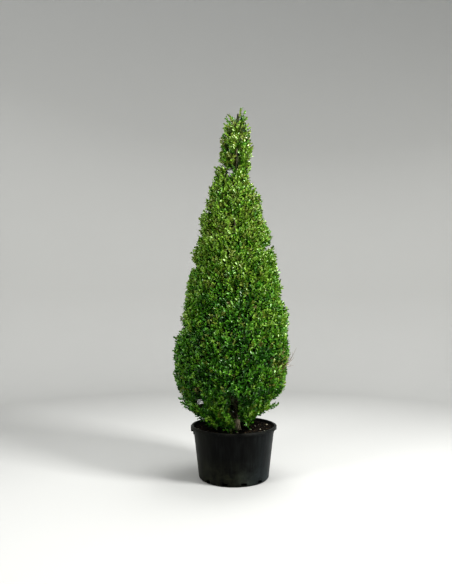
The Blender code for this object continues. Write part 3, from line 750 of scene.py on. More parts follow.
RIGHT_TUFTS = (
    (0.63, -0.05), (0.70, -0.10), (0.77, -0.045), (0.87, -0.035), (0.95, -0.020), (1.05, 0.005),
    (1.35, 0.020), (1.50, 0.024), (1.62, 0.045), (1.75, 0.066), (1.95, 0.008), (2.10, 0.024),
    (2.48, 0.012), (2.68, 0.020), (2.82, -0.012), (3.06, 0.010), (3.16, -0.025), (3.25, -0.052),
    (3.36, -0.030), (3.43, 0.004), (3.64, 0.012), (3.92, 0.012),
)
CROWN_SHIFT_FOOT = -0.045
CROWN_SHIFT_TOP = -0.020
LUMP_SPACING = 0.16
HOLLOW_DEPTH = 0.055
HOLLOW_LEVEL = 0.3
SIDE_EVENNESS = 0.75
CLUMP_SPACING = 0.075
CLUMP_DEPTH = 0.036


def outward(azimuth):
    return Vector((math.cos(azimuth), math.sin(azimuth), 0))


def crown_centre(height):
    shift = between(CROWN_SHIFT_FOOT, CROWN_SHIFT_TOP, trunk_share(height))
    return trunk_centre(height) + Vector((shift, 0, 0))


def crown_radius(azimuth, height):
    side = math.cos(azimuth)
    tufts = blend(RIGHT_TUFTS if side > 0 else LEFT_TUFTS, height)
    plain = blend(CROWN_OUTLINE, height)
    place = plain * outward(azimuth) + Vector((0, 0, height))
    hollow = HOLLOW_DEPTH * min(noise.noise(place / LUMP_SPACING) - HOLLOW_LEVEL, 0)
    clump = CLUMP_DEPTH * min(noise.noise(place / CLUMP_SPACING), 0)
    return plain + tufts * side * side + hollow * (1 - SIDE_EVENNESS * side * side) + clump


def crown_point(azimuth, height, reach):
    return crown_centre(height) + reach * crown_radius(azimuth, height) * outward(azimuth)


print("widest:", round(2 * max(radius for height, radius in CROWN_OUTLINE), 3))

# %% The space of each mass
from collections import namedtuple

TIER_EDGES = (0.38, 0.86, 1.37, 1.86, 2.34, 2.84, 3.33, 3.70)
TIER_RISE = 0.4
TIER_WAVE = 0.10
TIER_WAVES = 3
TIER_SECTORS = (5, 5, 4, 4, 3, 3, 2, 2)
TIER_TURN = math.radians(38)
CLIPPED_TOP = 3.99
# The lowest leaves' height, by azimuth in degrees.
HEM = (
    (-180, 0.74), (-150, 0.73), (-130, 0.67), (-115, 0.60), (-98, 0.60), (-80, 0.63), (-65, 0.65),
    (-55, 0.70), (-45, 0.75), (-30, 0.79), (0, 0.76), (60, 0.63), (90, 0.60), (120, 0.61), (180, 0.74),
)
EDGE_SETTLE_STEPS = 14

Cell = namedtuple("Cell", "tier azimuth half_angle")


def tier_edge(tier, azimuth, reach):
    """The height of a tier's wavy lower edge at a share of the crown's radius."""
    if tier == 0:
        return blend(HEM, math.degrees(math.remainder(azimuth, 2 * math.pi)))
    if tier == len(TIER_EDGES):
        return CLIPPED_TOP
    slope = TIER_RISE + TIER_WAVE * math.cos(TIER_WAVES * azimuth + tier * TIER_TURN)
    height = TIER_EDGES[tier]
    for _ in range(EDGE_SETTLE_STEPS):
        height = TIER_EDGES[tier] + slope * reach * blend(CROWN_OUTLINE, height)
    return height


def cell_point(cell, across, up, reach):
    """A place in a cell: across and up run from -1 to 1, reach from the axis to the outline."""
    azimuth = cell.azimuth + across * cell.half_angle
    low = tier_edge(cell.tier, azimuth, reach)
    high = tier_edge(cell.tier + 1, azimuth, reach)
    return crown_point(azimuth, low + (high - low) * 0.5 * (up + 1), reach)


def cells():
    for tier, sectors in enumerate(TIER_SECTORS):
        half_angle = math.pi / sectors
        for sector in range(sectors):
            yield Cell(tier, tier * TIER_TURN + 2 * half_angle * sector, half_angle)


print("masses:", len(list(cells())))

# %% [markdown]
# ## Limbs
#
# Each bough leaves the trunk and climbs outwards, ever steeper, and ends inside its mass. There it goes
# on as a stem, and limbs fan out from the stem to places spread evenly over the mass. The golden share
# gives such places: each next one is that share of the full width further on. Every limb is kept as a
# line with a thickness at each point, and one tree of Geometry Nodes will make tubes of all the lines.

# %% Boughs and stems
import random

BOUGH_REACH = 0.40
BOUGH_SLOPE = 0.80
BOUGH_CURVE = 0.35
BOUGH_LOWEST_START = SOIL_LEVEL + 0.06
BOUGH_START_SPREAD = 0.035
BOUGH_FOOT_RADIUS = 0.016
BOUGH_TIP_RADIUS = 0.010
BOUGH_STEPS = 8
COLLAR_SWELLING = 0.006
COLLAR_FADING = 12
STEM_REACH = 0.72
STEM_END_RADIUS = 0.005
BOUGH_SEED = 44


def bough_line(cell, dice):
    """A limb that climbs from the trunk into its mass, and the stem that it goes on as."""
    end = cell_point(cell, 0, 0, BOUGH_REACH)
    run = (end - trunk_centre(end.z)).xy.length
    spread = dice.uniform(-BOUGH_START_SPREAD, BOUGH_START_SPREAD)
    start = trunk_centre(max(end.z - BOUGH_SLOPE * run + spread, BOUGH_LOWEST_START))
    stem_end = cell_point(cell, 0, 0, STEM_REACH)
    line = []
    for step in range(BOUGH_STEPS + 1):
        share = step / BOUGH_STEPS
        point = start.lerp(end, share)
        point.z = between(start.z, end.z, (1 - BOUGH_CURVE) * share + BOUGH_CURVE * share * share)
        collar = COLLAR_SWELLING * math.exp(-share * COLLAR_FADING)
        line.append((point, between(BOUGH_FOOT_RADIUS, BOUGH_TIP_RADIUS, share) + collar))
    line.append((end.lerp(stem_end, 0.5), 0.5 * (BOUGH_TIP_RADIUS + STEM_END_RADIUS)))
    line.append((stem_end, STEM_END_RADIUS))
    return line


bough_dice = random.Random(BOUGH_SEED)
boughs = {cell: bough_line(cell, bough_dice) for cell in cells()}
print("boughs and stems:", len(boughs))

# %% Even places on a mass
GOLDEN_SHARE = 0.618034
TABLE_STEPS = 16
FEWEST_PLACES = 3


def rise_table(cell):
    """How much of a cell's outer side lies under each height, to spread places evenly over it."""
    total = 0
    table = [(0, -1)]
    before = cell_point(cell, 0, -1, 1)
    for step in range(TABLE_STEPS):
        up = 2 * (step + 1) / TABLE_STEPS - 1
        here = cell_point(cell, 0, up, 1)
        reach = (here - crown_centre(here.z)).xy.length
        total += (here - before).length * 2 * cell.half_angle * reach
        table.append((total, up))
        before = here
    return table


def even_places(cell, area, offset):
    """Places (across, up) spread evenly over a cell's outer side, one for each bit of area."""
    table = rise_table(cell)
    count = max(round(table[-1][0] / area), FEWEST_PLACES)
    for index in range(count):
        up = blend(table, table[-1][0] * (index + 0.5) / count)
        yield 2 * ((index * GOLDEN_SHARE + offset) % 1) - 1, up


# %% Limbs inside the masses
LIMB_AREA = 0.030
LIMB_OFFSET = 0.25
LIMB_HOLDS = (0.66, 0.98)
LIMB_SPREAD = 0.92
LIMB_REACH = 0.86
LIMB_SAG = 0.12
LIMB_FOOT_RADIUS = 0.0045
LIMB_TIP_RADIUS = 0.0022


def along(line, share):
    """The place at a share of the way along a line."""
    place = share * (len(line) - 1)
    step = min(int(place), len(line) - 2)
    return line[step][0].lerp(line[step + 1][0], place - step)


def halfway(first, second, sag):
    return first.lerp(second, 0.5) - Vector((0, 0, sag))


def limb_lines(cell, dice):
    for across, up in even_places(cell, LIMB_AREA, LIMB_OFFSET):
        foot = along(boughs[cell], dice.uniform(*LIMB_HOLDS))
        end = cell_point(cell, LIMB_SPREAD * across, LIMB_SPREAD * up, LIMB_REACH)
        middle = halfway(foot, end, LIMB_SAG * (end - foot).xy.length)
        middle_radius = 0.5 * (LIMB_FOOT_RADIUS + LIMB_TIP_RADIUS)
        line = [(foot, LIMB_FOOT_RADIUS), (middle, middle_radius), (end, LIMB_TIP_RADIUS)]
        yield (across, up), line


limb_dice = random.Random(BOUGH_SEED + 1)
limbs = {cell: list(limb_lines(cell, limb_dice)) for cell in cells()}
print("limbs:", sum(len(some) for some in limbs.values()))

# %% [markdown]
# ## Shoots
#
# The leaves sit on shoots about a hand's breadth long. Most end at the clipped surface, and some end
# further in, where older leaves stay. Each shoot leans outwards and up, hangs on the nearest limb by a
# bare twig, and is left out where the picture shows the trunk or an opening between the leaves.

# %% Openings in the foliage
# Openings as x, height and radius. The trunk shows from a low to a high height, left to right of it.
CLEAR_VIEWS = (
    (-0.050, 3.375, 0.036), (-0.374, 0.795, 0.030), (-0.396, 0.822, 0.020), (-0.272, 2.905, 0.008),
    (-0.236, 3.020, 0.002), (0.425, 0.800, 0.026), (-0.500, 0.660, 0.050), (0.245, 3.330, 0.020),
    (-0.440, 2.300, 0.018), (0.365, 2.500, 0.016), (-0.570, 1.620, 0.014), (-0.348, 2.627, 0.008),
)
TRUNK_VIEWS = (
    (0.50, 0.63, -0.022, 0.060), (0.62, 0.86, -0.075, 0.024), (2.66, 2.80, -0.037, -0.003),
    (3.42, 3.60, -0.026, 0.020), (3.93, 4.06, -0.044, 0.044),
)
SHOOT_CLEARANCE = 0.018


def seen_at(point):
    """Where the camera sees a point against an upright sheet through the plant's axis."""
    stretch = CAMERA_PLACE[1] / (CAMERA_PLACE[1] - point.y)
    x = CAMERA_PLACE[0] + (point.x - CAMERA_PLACE[0]) * stretch
    return x, CAMERA_PLACE[2] + (point.z - CAMERA_PLACE[2]) * stretch


def blocks_view(point):
    """Whether a shoot here would close an opening, or hide the trunk where it shows."""
    x, height = seen_at(point)
    for gap_x, gap_height, size in CLEAR_VIEWS:
        if math.hypot(x - gap_x, height - gap_height) < size + SHOOT_CLEARANCE:
            return True
    from_trunk = x - trunk_centre(height).x
    return point.y <= 0 and any(
        low < height < high and left < from_trunk < right
        for low, high, left, right in TRUNK_VIEWS
    )


print("openings:", len(CLEAR_VIEWS) + len(TRUNK_VIEWS))

# %% One shoot
SHOOT_LENGTH = 0.105
SHOOT_LENGTHS = (0.75, 1.2)
SHOOT_RISE = math.radians(30)
SHOOT_RISE_SPREAD = math.radians(32)
SHOOT_SWING = math.radians(38)
SHOOT_DROP = 0.1
SHOOT_SAG = 0.06
SHOOT_FOOT_RADIUS = 0.0013
SHOOT_MIDDLE_RADIUS = 0.001
SHOOT_TIP_RADIUS = 0.0007
LEAST_REACH = 0.1
TWIG_HOLDS = (0.55, 0.97)
TWIG_SAG = 0.08
TWIG_RADIUS = 0.0015
TWIG_HOLD_RADIUS = TWIG_RADIUS * 1.3

Shoot = namedtuple("Shoot", "line depth twig")


def grow_shoot(cell, across, up, depth, dice):
    """A shoot whose tip is at a depth under the clipped surface, and the twig that carries it."""
    azimuth = cell.azimuth + across * cell.half_angle
    surface = cell_point(cell, across, up, 1)
    radius = (surface - crown_centre(surface.z)).xy.length
    tip = cell_point(cell, across, up, max(radius - depth, LEAST_REACH * radius) / radius)
    lean = outward(azimuth + dice.uniform(-1, 1) * SHOOT_SWING)
    rise = SHOOT_RISE + dice.uniform(-1, 1) * SHOOT_RISE_SPREAD
    heading = lean * math.cos(rise) + Vector((0, 0, math.sin(rise)))
    length = SHOOT_LENGTH * dice.uniform(*SHOOT_LENGTHS)
    foot = tip - heading * length - Vector((0, 0, SHOOT_DROP * length))
    middle = halfway(foot, tip, SHOOT_SAG * length)
    if blocks_view(tip) or blocks_view(middle):
        return None
    carrier = min(limbs[cell], key=lambda limb: math.hypot(limb[0][0] - across, limb[0][1] - up))
    hold = along(carrier[1], dice.uniform(*TWIG_HOLDS))
    bend = halfway(hold, foot, TWIG_SAG * (foot - hold).length)
    twig = [(hold, TWIG_HOLD_RADIUS), (bend, TWIG_RADIUS), (foot, SHOOT_FOOT_RADIUS)]
    line = [(foot, SHOOT_FOOT_RADIUS), (middle, SHOOT_MIDDLE_RADIUS), (tip, SHOOT_TIP_RADIUS)]
    return Shoot(line, depth, twig)


print("shoot length:", [round(SHOOT_LENGTH * share, 3) for share in SHOOT_LENGTHS])

# %% Shoots over every mass
SHOOT_AREA = 0.00170
# Each layer's shallowest and deepest depth, and its share of the places.
LAYERS = ((0.004, 0.038, 1.0), (0.055, 0.085, 0.50), (0.110, 0.150, 0.22))
LAYER_OFFSETS = (0.17, 0.47, 0.77)
STRAY_SHARE = 0.06
STRAY_REACH = 0.022
ACROSS_SPREAD = 0.02
UP_SPREAD = 0.03
FULLNESS = ((3.0, 1.0), (3.35, 0.85), (3.6, 0.70), (4.0, 0.60))


def grow_cell(cell, dice):
    for (shallow, deep, share), offset in zip(LAYERS, LAYER_OFFSETS):
        for across, up in even_places(cell, SHOOT_AREA / share, offset):
            depth = dice.uniform(shallow, deep)
            if offset == LAYER_OFFSETS[0] and dice.random() < STRAY_SHARE:
                depth -= STRAY_REACH
            across += dice.uniform(-ACROSS_SPREAD, ACROSS_SPREAD)
            up += dice.uniform(-UP_SPREAD, UP_SPREAD)
            if dice.random() > blend(FULLNESS, cell_point(cell, across, up, 1).z):
                continue
            shoot = grow_shoot(cell, across, up, depth, dice)
            if shoot:
                yield shoot


shoot_dice = random.Random(BOUGH_SEED + 2)
shoots = [shoot for cell in cells() for shoot in grow_cell(cell, shoot_dice)]
print("shoots:", len(shoots))

# %% [markdown]
# A clipped plant is never clipped clean. Two sprigs beside the cut tip of the trunk have grown out
# since, a few tufts stand off at the hem on both sides, and single leaves reach out further. Each is a
# shoot whose tip was read from the picture. A sprig starts from the trunk below its tip, and a tuft
# from a place further in and a little lower.

# %% Sprigs and tufts that stand out
SPRIG_TIPS = (
    (0.090, 0.030, 4.105), (0.125, 0.010, 4.050), (0.080, -0.020, 4.060), (0.110, 0.040, 4.010),
    (-0.052, -0.030, 4.005), (-0.025, 0.010, 3.985), (-0.080, 0.000, 3.970), (0.140, -0.020, 3.970),
)
TUFT_TIPS = (
    (-0.560, -0.080, 0.805), (-0.545, 0.100, 0.775), (-0.520, -0.130, 0.765), (-0.505, 0.020, 0.735),
    (-0.590, -0.030, 0.850), (0.465, -0.100, 0.790), (0.460, 0.090, 0.765), (0.425, -0.160, 0.775),
    (0.435, 0.170, 0.735), (-0.650, -0.020, 1.100), (-0.640, 0.040, 1.060), (-0.640, 0.000, 1.350),
    (-0.620, 0.050, 1.380), (0.540, 0.000, 0.935), (-0.160, 0.010, 3.420), (-0.175, -0.020, 3.385),
)
SPRIG_STEPS = 4
SPRIG_SAG = 0.5
SPRIG_DEPTH = 0.05
TUFT_DEPTH = 0.03
STANDING_LENGTH = 0.13
TUFT_DROP = 0.03


def standing_shoot(tip, foot, depth):
    """A shoot from a hold inside the plant that bends up towards its tip."""
    line = []
    for step in range(SPRIG_STEPS + 1):
        share = step / SPRIG_STEPS
        point = foot.lerp(tip, share)
        point.z -= SPRIG_SAG * (tip - foot).xy.length * share * (1 - share)
        line.append((point, between(SHOOT_FOOT_RADIUS, SHOOT_TIP_RADIUS, share)))
    twig_start = foot - (tip - foot) * 0.5
    return Shoot(line, depth, [(twig_start, TWIG_RADIUS), (foot, SHOOT_FOOT_RADIUS)])


def stand_out():
    for tip in map(Vector, SPRIG_TIPS):
        yield standing_shoot(tip, trunk_centre(tip.z - STANDING_LENGTH), SPRIG_DEPTH)
    for tip in map(Vector, TUFT_TIPS):
        inward = (crown_centre(tip.z) - tip).normalized()
        foot = tip + STANDING_LENGTH * inward - Vector((0, 0, TUFT_DROP))
        yield standing_shoot(tip, foot, TUFT_DEPTH)


shoots += list(stand_out())
print("shoots with sprigs:", len(shoots))

# %% [markdown]
# ## Tubes along lines
#
# One tree of Geometry Nodes turns lines into bark-covered tubes: the lines become curves, the curves
# get even points, a circle is swept along them at the thickness stored at each point, and noise that
# is stretched along the trunk pushes the surface in and out. Sizes are named inputs, so the same tree
# serves the boughs and the thinnest twigs.

# %% The tree that sweeps tubes
RELIEF_STRETCH = (1, 1, 0.22)


def tube_tree():
    tree, given, result = new_tree(
        "tubes along lines", Sides="Int", Ring_spacing="Float", Relief_depth="Float",
        Relief_size="Float", Bark="Material",
    )
    curves = output(tree, "GeometryNodeMeshToCurve", {"Mesh": given["Start"]})
    spaced = {"Curve": curves, "Length": given["Ring spacing"]}
    even = output(tree, "GeometryNodeResampleCurve", spaced, mode="LENGTH")
    circle = {"Resolution": given["Sides"], "Radius": 1}
    ring = output(tree, "GeometryNodeCurvePrimitiveCircle", circle)
    thickness = output(tree, "GeometryNodeInputNamedAttribute", {"Name": "thickness"})
    sweep = {"Curve": even, "Profile Curve": ring, "Scale": thickness, "Fill Caps": True}
    tubes = output(tree, "GeometryNodeCurveToMesh", sweep)
    place = output(tree, "GeometryNodeInputPosition")
    place = combine_vectors(tree, "MULTIPLY", place, RELIEF_STRETCH)
    finer = combine(tree, "DIVIDE", 1.0, given["Relief size"])
    relief = grain_at(tree, place, finer, detail=3, roughness=0.5)
    relief = combine(tree, "SUBTRACT", relief, 0.5)
    depth = combine(tree, "MULTIPLY", relief, given["Relief depth"])
    push = scaled(tree, output(tree, "GeometryNodeInputNormal"), depth)
    return finish_tree(tree, result, pushed(tree, tubes, push), given["Bark"])


TUBES = tube_tree()

# %% Lines with an amount at each point
def line_object(name, lines, amount="thickness"):
    """An object of bare edges along lines, with an amount stored at each point."""
    points = [tuple(point) for line in lines for point, _ in line]
    edges = []
    for line in lines:
        first = edges[-1][1] + 1 if edges else 0
        edges += [(first + step, first + step + 1) for step in range(len(line) - 1)]
    mesh = bpy.data.meshes.new(name)
    mesh.from_pydata(points, edges, [])
    stored = mesh.attributes.new(amount, "FLOAT", "POINT")
    stored.data.foreach_set("value", [value for line in lines for _, value in line])
    return add_object(name, mesh)


def make_tubes(name, lines, bark, sides, spacing, depth=0.0, size=0.01):
    """Tubes of some sides and ring spacing, with bark whose relief has a depth and a size."""
    sizes = {"Sides": sides, "Ring_spacing": spacing, "Relief_depth": depth, "Relief_size": size}
    return run_tree(line_object(name, lines), TUBES, Bark=bark, **sizes)



# %% [markdown]
# ## Bark
#
# The bark is pale grey-brown, with darker furrows along the stem, and shaded higher up. Thin twigs are
# green. The cut tip of the trunk died back and is nearly black. The relief is real geometry on the
# trunk and boughs, and the finest grain is bump.

# %% Finish of the bark
STUB_HEIGHT = 0.13
SHADE_HEIGHTS = (0.60, 0.68)
FURROW_STRETCH = 0.2


def bark_finish(name, pale, dark, tip_colour, grain, shaded=None):
    """Furrows of a grain: pale at the foot, another colour from the shade up, and a tip's colour."""
    material, tree, shader = new_material(name, Roughness=0.85)
    place = surface_place(tree)
    height = axes_of(tree, place)["Z"]
    near_tip = share_between(tree, height, TRUNK_TOP - STUB_HEIGHT, TRUNK_TOP - 0.5 * STUB_HEIGHT)
    upright = stretched(tree, place, grain, FURROW_STRETCH * grain)
    furrows = grain_at(tree, upright, scale=1, detail=6)
    ridge = mixed(tree, share_between(tree, height, *SHADE_HEIGHTS), pale, shaded or pale)
    colour = mixed(tree, share_between(tree, furrows, 0.36, 0.62), dark, ridge)
    tree.links.new(mixed(tree, near_tip, colour, tip_colour), shader.inputs["Base Color"])
    dented(tree, shader, furrows, strength=0.6, depth=0.002)
    return material


TRUNK_BARK = bark_finish(
    "trunk_bark", pale=(0.60, 0.53, 0.36, 1), dark=(0.09, 0.075, 0.045, 1),
    tip_colour=(0.022, 0.018, 0.013, 1), grain=130, shaded=(0.13, 0.11, 0.07, 1),
)
TWIG_BARK = bark_finish(
    "twig_bark", pale=(0.085, 0.120, 0.030, 1), dark=(0.035, 0.055, 0.014, 1),
    tip_colour=(0.12, 0.12, 0.06, 1), grain=260,
)
DEAD_BARK = bark_finish(
    "dead_bark", pale=(0.33, 0.28, 0.22, 1), dark=(0.13, 0.10, 0.075, 1),
    tip_colour=(0.13, 0.10, 0.075, 1), grain=260,
)
print("bark finishes:", TRUNK_BARK.name, TWIG_BARK.name, DEAD_BARK.name)

# %% Trunk, with its root flare
TRUNK_STEPS = 60
FLARE_DEPTH = 0.014
FLARE_HEIGHT = 0.045
FLARE_LOBES = 5
FLARE_LOBE_SHARE = 0.4
STUB_SWELLING = 0.004
STILL_RADIUS = 0.02

steps = range(TRUNK_STEPS + 1)
heights = [SOIL_LEVEL + (TRUNK_TOP - SOIL_LEVEL) * step / TRUNK_STEPS for step in steps]
line = [(trunk_centre(height), trunk_radius(height)) for height in heights]
relief = {"depth": 0.007, "size": 0.009}
trunk = make_tubes("trunk_with_bark", [line], TRUNK_BARK, sides=40, spacing=0.006, **relief)
for vert in trunk.data.vertices:
    offset = vert.co - trunk_centre(vert.co.z)
    lobes = 1 + FLARE_LOBE_SHARE * math.cos(FLARE_LOBES * math.atan2(offset.y, offset.x))
    spread = FLARE_DEPTH * lobes * math.exp(-(vert.co.z - SOIL_LEVEL) / FLARE_HEIGHT)
    spread += STUB_SWELLING * math.exp((vert.co.z - TRUNK_TOP) / STUB_HEIGHT)
    vert.co += offset.xy.normalized().to_3d() * spread * min(offset.xy.length / STILL_RADIUS, 1)
join_plant(trunk, "bark", "trunk")

# %% [markdown]
# Two pale stems show between the leaves of the upper half, one above the other. They stand close
# behind the surface, as their light colour tells, so each is a short limb in front of the trunk.

# %% Boughs, their stems and two limbs that show
SHOWN_LIMBS = (
    ((0.013, -0.32, 2.56), (0.011, -0.35, 2.75)),
    ((0.030, -0.08, 3.36), (0.034, -0.145, 3.58)),
)
SHOWN_LIMB_RADIUS = 0.008

shown = [[(Vector(point), SHOWN_LIMB_RADIUS) for point in ends] for ends in SHOWN_LIMBS]
lines = list(boughs.values()) + shown
relief = {"depth": 0.003, "size": 0.008}
boughs_piece = make_tubes("boughs_with_bark", lines, TRUNK_BARK, sides=12, spacing=0.012, **relief)
join_plant(boughs_piece, "bark", *bough_nodes)

# %% Limbs and twigs
SHOOTS_PER_PIECE = 4000


def batches(some, limit):
    """The items in numbered batches that are small enough to be one piece each."""
    for number, first in enumerate(range(0, len(some), limit), start=1):
        yield number, some[first : first + limit]


lines = [line for some in limbs.values() for _, line in some]
limb_piece = make_tubes("limbs", lines, TWIG_BARK, sides=5, spacing=0.035)
join_plant(limb_piece, "bark", *foliage_nodes)
for batch_number, batch in batches(shoots, SHOOTS_PER_PIECE):
    lines = [shoot.twig + shoot.line[1:] for shoot in batch]
    twig_piece = make_tubes(f"twigs_{batch_number}", lines, TWIG_BARK, sides=3, spacing=0.07)
    join_plant(twig_piece, "bark", *foliage_nodes)

# %% [markdown]
# On the right, a bare grey twig that died back sticks out past the leaves and forks a few times.

# %% Dead twigs
DEAD_TWIG_FOOT = Vector((0.480, -0.150, 1.120))
DEAD_TWIG_FORK = Vector((0.585, -0.150, 1.250))
DEAD_TWIG_TIPS = (
    (0.672, -0.150, 1.402), (0.640, -0.175, 1.345), (0.650, -0.120, 1.300), (0.615, -0.140, 1.360),
    (0.640, -0.150, 1.215),
)
DEAD_TWIG_RADII = (0.0045, 0.004, 0.0035)
DEAD_FORK_RADII = (0.003, 0.0022, 0.0012)
DEAD_SIDE_RADII = (0.0018, 0.0009)
DEAD_TWIG_SAG = 0.008
FORK_SPACING = 0.08
FORK_BEND = Vector((0.004, 0, -0.006))
SIDE_LENGTH = 0.022
SIDE_LEAN = 0.2


def dead_twigs():
    foot, fork = DEAD_TWIG_FOOT, DEAD_TWIG_FORK
    yield list(zip((foot, halfway(foot, fork, DEAD_TWIG_SAG), fork), DEAD_TWIG_RADII))
    for index, tip in enumerate(map(Vector, DEAD_TWIG_TIPS)):
        start = foot.lerp(fork, 1 - FORK_SPACING * index)
        bend = start.lerp(tip, 0.5) + FORK_BEND
        aside = (tip - start).cross(Vector((0, 1, 0))).normalized()
        side = bend + aside * SIDE_LENGTH + (tip - start) * SIDE_LEAN
        yield list(zip((start, bend, tip), DEAD_FORK_RADII))
        yield list(zip((bend, side), DEAD_SIDE_RADII))


lines = list(dead_twigs())
relief = {"depth": 0.0008, "size": 0.006}
dead_piece = make_tubes("dead_twigs", lines, DEAD_BARK, sides=6, spacing=0.012, **relief)
join_plant(dead_piece, "bark", "foliage_tier2_e")

# %% [markdown]
# ## Leaves
#
# The leaf is small, rounded and widest past its middle, folded a little along its midrib and curled
# down at its tip. Eight triangles round one middle point are enough for that, because there are tens
# of thousands of leaves. Three blades with different folds keep them from looking stamped.

# %% Blades
LEAF_HALF_OUTLINE = ((0.20, 0.16), (0.56, 0.30), (0.86, 0.20))
LEAF_MIDDLE = 0.55
BLADES = ((0.30, 0.20), (0.14, 0.42), (0.45, 0.05))


def make_blade(index, fold, curl):
    """A blade one unit long that grows up +Z from its root, with its upper face towards -X."""
    left = [(height, -width) for height, width in reversed(LEAF_HALF_OUTLINE)]
    flat = [(LEAF_MIDDLE, 0), (0, 0), *LEAF_HALF_OUTLINE, (1, 0), *left]
    shape = bmesh.new()
    middle, *rim = [
        shape.verts.new((curl * (height - LEAF_MIDDLE) ** 2 - fold * abs(width), width, height))
        for height, width in flat
    ]
    for first, second in zip(rim, rim[1:] + rim[:1]):
        shape.faces.new((middle, second, first))
    name = f"blade_{index}"
    return bpy.data.objects.new(name, to_mesh(name, shape))


blades = bpy.data.collections.new("blades")
bpy.context.scene.collection.children.link(blades)
for blade_index, (blade_fold, blade_curl) in enumerate(BLADES):
    blades.objects.link(make_blade(blade_index, blade_fold, blade_curl))

# %% [markdown]
# The leaves stand along each shoot at even spacing. Each is turned round the shoot by the golden angle
# from the one before it, which is how many plants keep their leaves out of each other's shade, and is
# tilted away from the shoot, less so near its tip. Random amounts make them uneven.

# %% The tree that sets leaves on shoots
GOLDEN_ANGLE = math.radians(137.5)
SPIN_SPREAD = 0.5
ROLL_SPREAD = 0.45
TIP_TILT_LOSS = 0.45
AXIS_Y = (0, 1, 0)
AXIS_Z = (0, 0, 1)


def random_float(tree, spread, seed):
    """A number by chance, from minus a spread to plus it."""
    limits = {"Min": -spread, "Max": spread, "Seed": seed}
    return add_node(tree, "FunctionNodeRandomValue", limits).outputs[1]


def rotated(tree, rotation, axis, angle):
    """A rotation followed by a turn about one of its own axes."""
    turn = output(tree, "FunctionNodeAxisAngleToRotation", {"Axis": axis, "Angle": angle})
    both = {"Rotation": rotation, "Rotate By": turn}
    return output(tree, "FunctionNodeRotateRotation", both, rotation_space="LOCAL")


def leaf_tree():
    tree, given, result = new_tree(
        "leaves along shoots", Blades="Collection", Spacing="Float", Leaf_length="Float",
        Length_spread="Float", Tilt="Float", Tilt_spread="Float", Seed="Int", Green="Material",
    )
    curves = output(tree, "GeometryNodeMeshToCurve", {"Mesh": given["Start"]})
    way = output(tree, "GeometryNodeInputNamedAttribute", {"Name": "way"})
    spaced = {"Curve": curves, "Length": given["Spacing"]}
    points = add_node(tree, "GeometryNodeCurveToPoints", spaced, mode="LENGTH").outputs
    spin = combine(tree, "MULTIPLY", output(tree, "GeometryNodeInputIndex"), GOLDEN_ANGLE)
    spin = combine(tree, "ADD", spin, random_float(tree, SPIN_SPREAD, 11))
    tilt_share = combine(tree, "SUBTRACT", 1.0, combine(tree, "MULTIPLY", way, TIP_TILT_LOSS))
    tilt = combine(tree, "MULTIPLY", given["Tilt"], tilt_share)
    wobble = combine(tree, "MULTIPLY", random_float(tree, 1.0, 12), given["Tilt spread"])
    turn = rotated(tree, points["Rotation"], AXIS_Z, spin)
    turn = rotated(tree, turn, AXIS_Y, combine(tree, "ADD", tilt, wobble))
    turn = rotated(tree, turn, AXIS_Z, random_float(tree, ROLL_SPREAD, 13))
    spread = combine(tree, "MULTIPLY", random_float(tree, 1.0, 14), given["Length spread"])
    size = combine(tree, "MULTIPLY", given["Leaf length"], combine(tree, "ADD", 1.0, spread))
    limits = {"Min": 0, "Max": len(BLADES) - 1, "Seed": given["Seed"]}
    choice = add_node(tree, "FunctionNodeRandomValue", limits, data_type="INT").outputs[2]
    children = {"Collection": given["Blades"], "Separate Children": True, "Reset Children": True}
    shapes = output(tree, "GeometryNodeCollectionInfo", children)
    picked = {"Instance": shapes, "Pick Instance": True, "Instance Index": choice}
    placing = {"Points": points[0], "Rotation": turn, "Scale": size}
    leaves = output(tree, "GeometryNodeInstanceOnPoints", {**picked, **placing})
    return finish_tree(tree, result, leaves, given["Green"])


LEAVES = leaf_tree()

# %% [markdown]
# ## Greens
#
# Leaves that grew this year are a light yellow green, and those further in are older and darker. The
# darker greens further in and low down also stand in for the shade there, as painted shade. So each
# shoot gets one of seven plain greens, by its depth under the surface, by its height, by patches of
# noise, and by chance, and the half of it that ends in its tip is younger than the other half. A few
# patches that the picture shows paler or darker are told as places, as painted light and painted
# shade, and so is one that it shows bronze. The leaves of one green are joined, in pieces that aren't
# too large.

# %% The greens and where they change
GREENS = {
    "bronze": (0.130, 0.115, 0.030, 1),
    "olive": (0.155, 0.210, 0.025, 1),
    "lime": (0.155, 0.285, 0.021, 1),
    "fresh": (0.101, 0.245, 0.013, 1),
    "leaf": (0.063, 0.208, 0.007, 1),
    "deep": (0.029, 0.136, 0.004, 1),
    "dark": (0.010, 0.073, 0.002, 1),
}
FRESH_TO_DARK = ("lime", "fresh", "leaf", "deep", "dark")
# Age added by height: the darker greens low down are partly age and partly painted shade.
AGE_AND_SHADE_BY_HEIGHT = (
    (0.62, 1.3), (0.78, 1.5), (0.92, 3.4), (1.3, 3.1), (1.7, 2.3), (2.1, 1.4), (2.7, 0.35), (3.2, 0.8),
)
# The x, height and reach of some places with the age that each adds, which is painted shade where
# it darkens the greens and painted light where it pales them, and the noise's age and size.
LIGHT_AND_SHADE_PLACES = ((-0.22, 2.74, 0.22, -0.9), (0.36, 1.08, 0.20, -1.1), (0.02, 1.03, 0.18, 1.0))
AGE_PATCHES = ((1.5, 0.30), (1.2, 0.09))
# Deeper leaves get darker greens, partly for their age and partly as painted shade.
AGE_AND_SHADE_OF_DEPTH = 5.3
DEEPEST = 0.15
AGE_CHANCE = 0.9
AGE_STEP = 0.9
BRONZE_SHARE = 0.015
BRONZE_PLACE = (0.555, 1.19)
BRONZE_PLACE_SHARE = 0.6
BRONZE_REACH = 0.11
OLIVE_SHARE = ((1.0, 0.03), (2.0, 0.07), (2.6, 0.17), (3.4, 0.32), (4.1, 0.42))


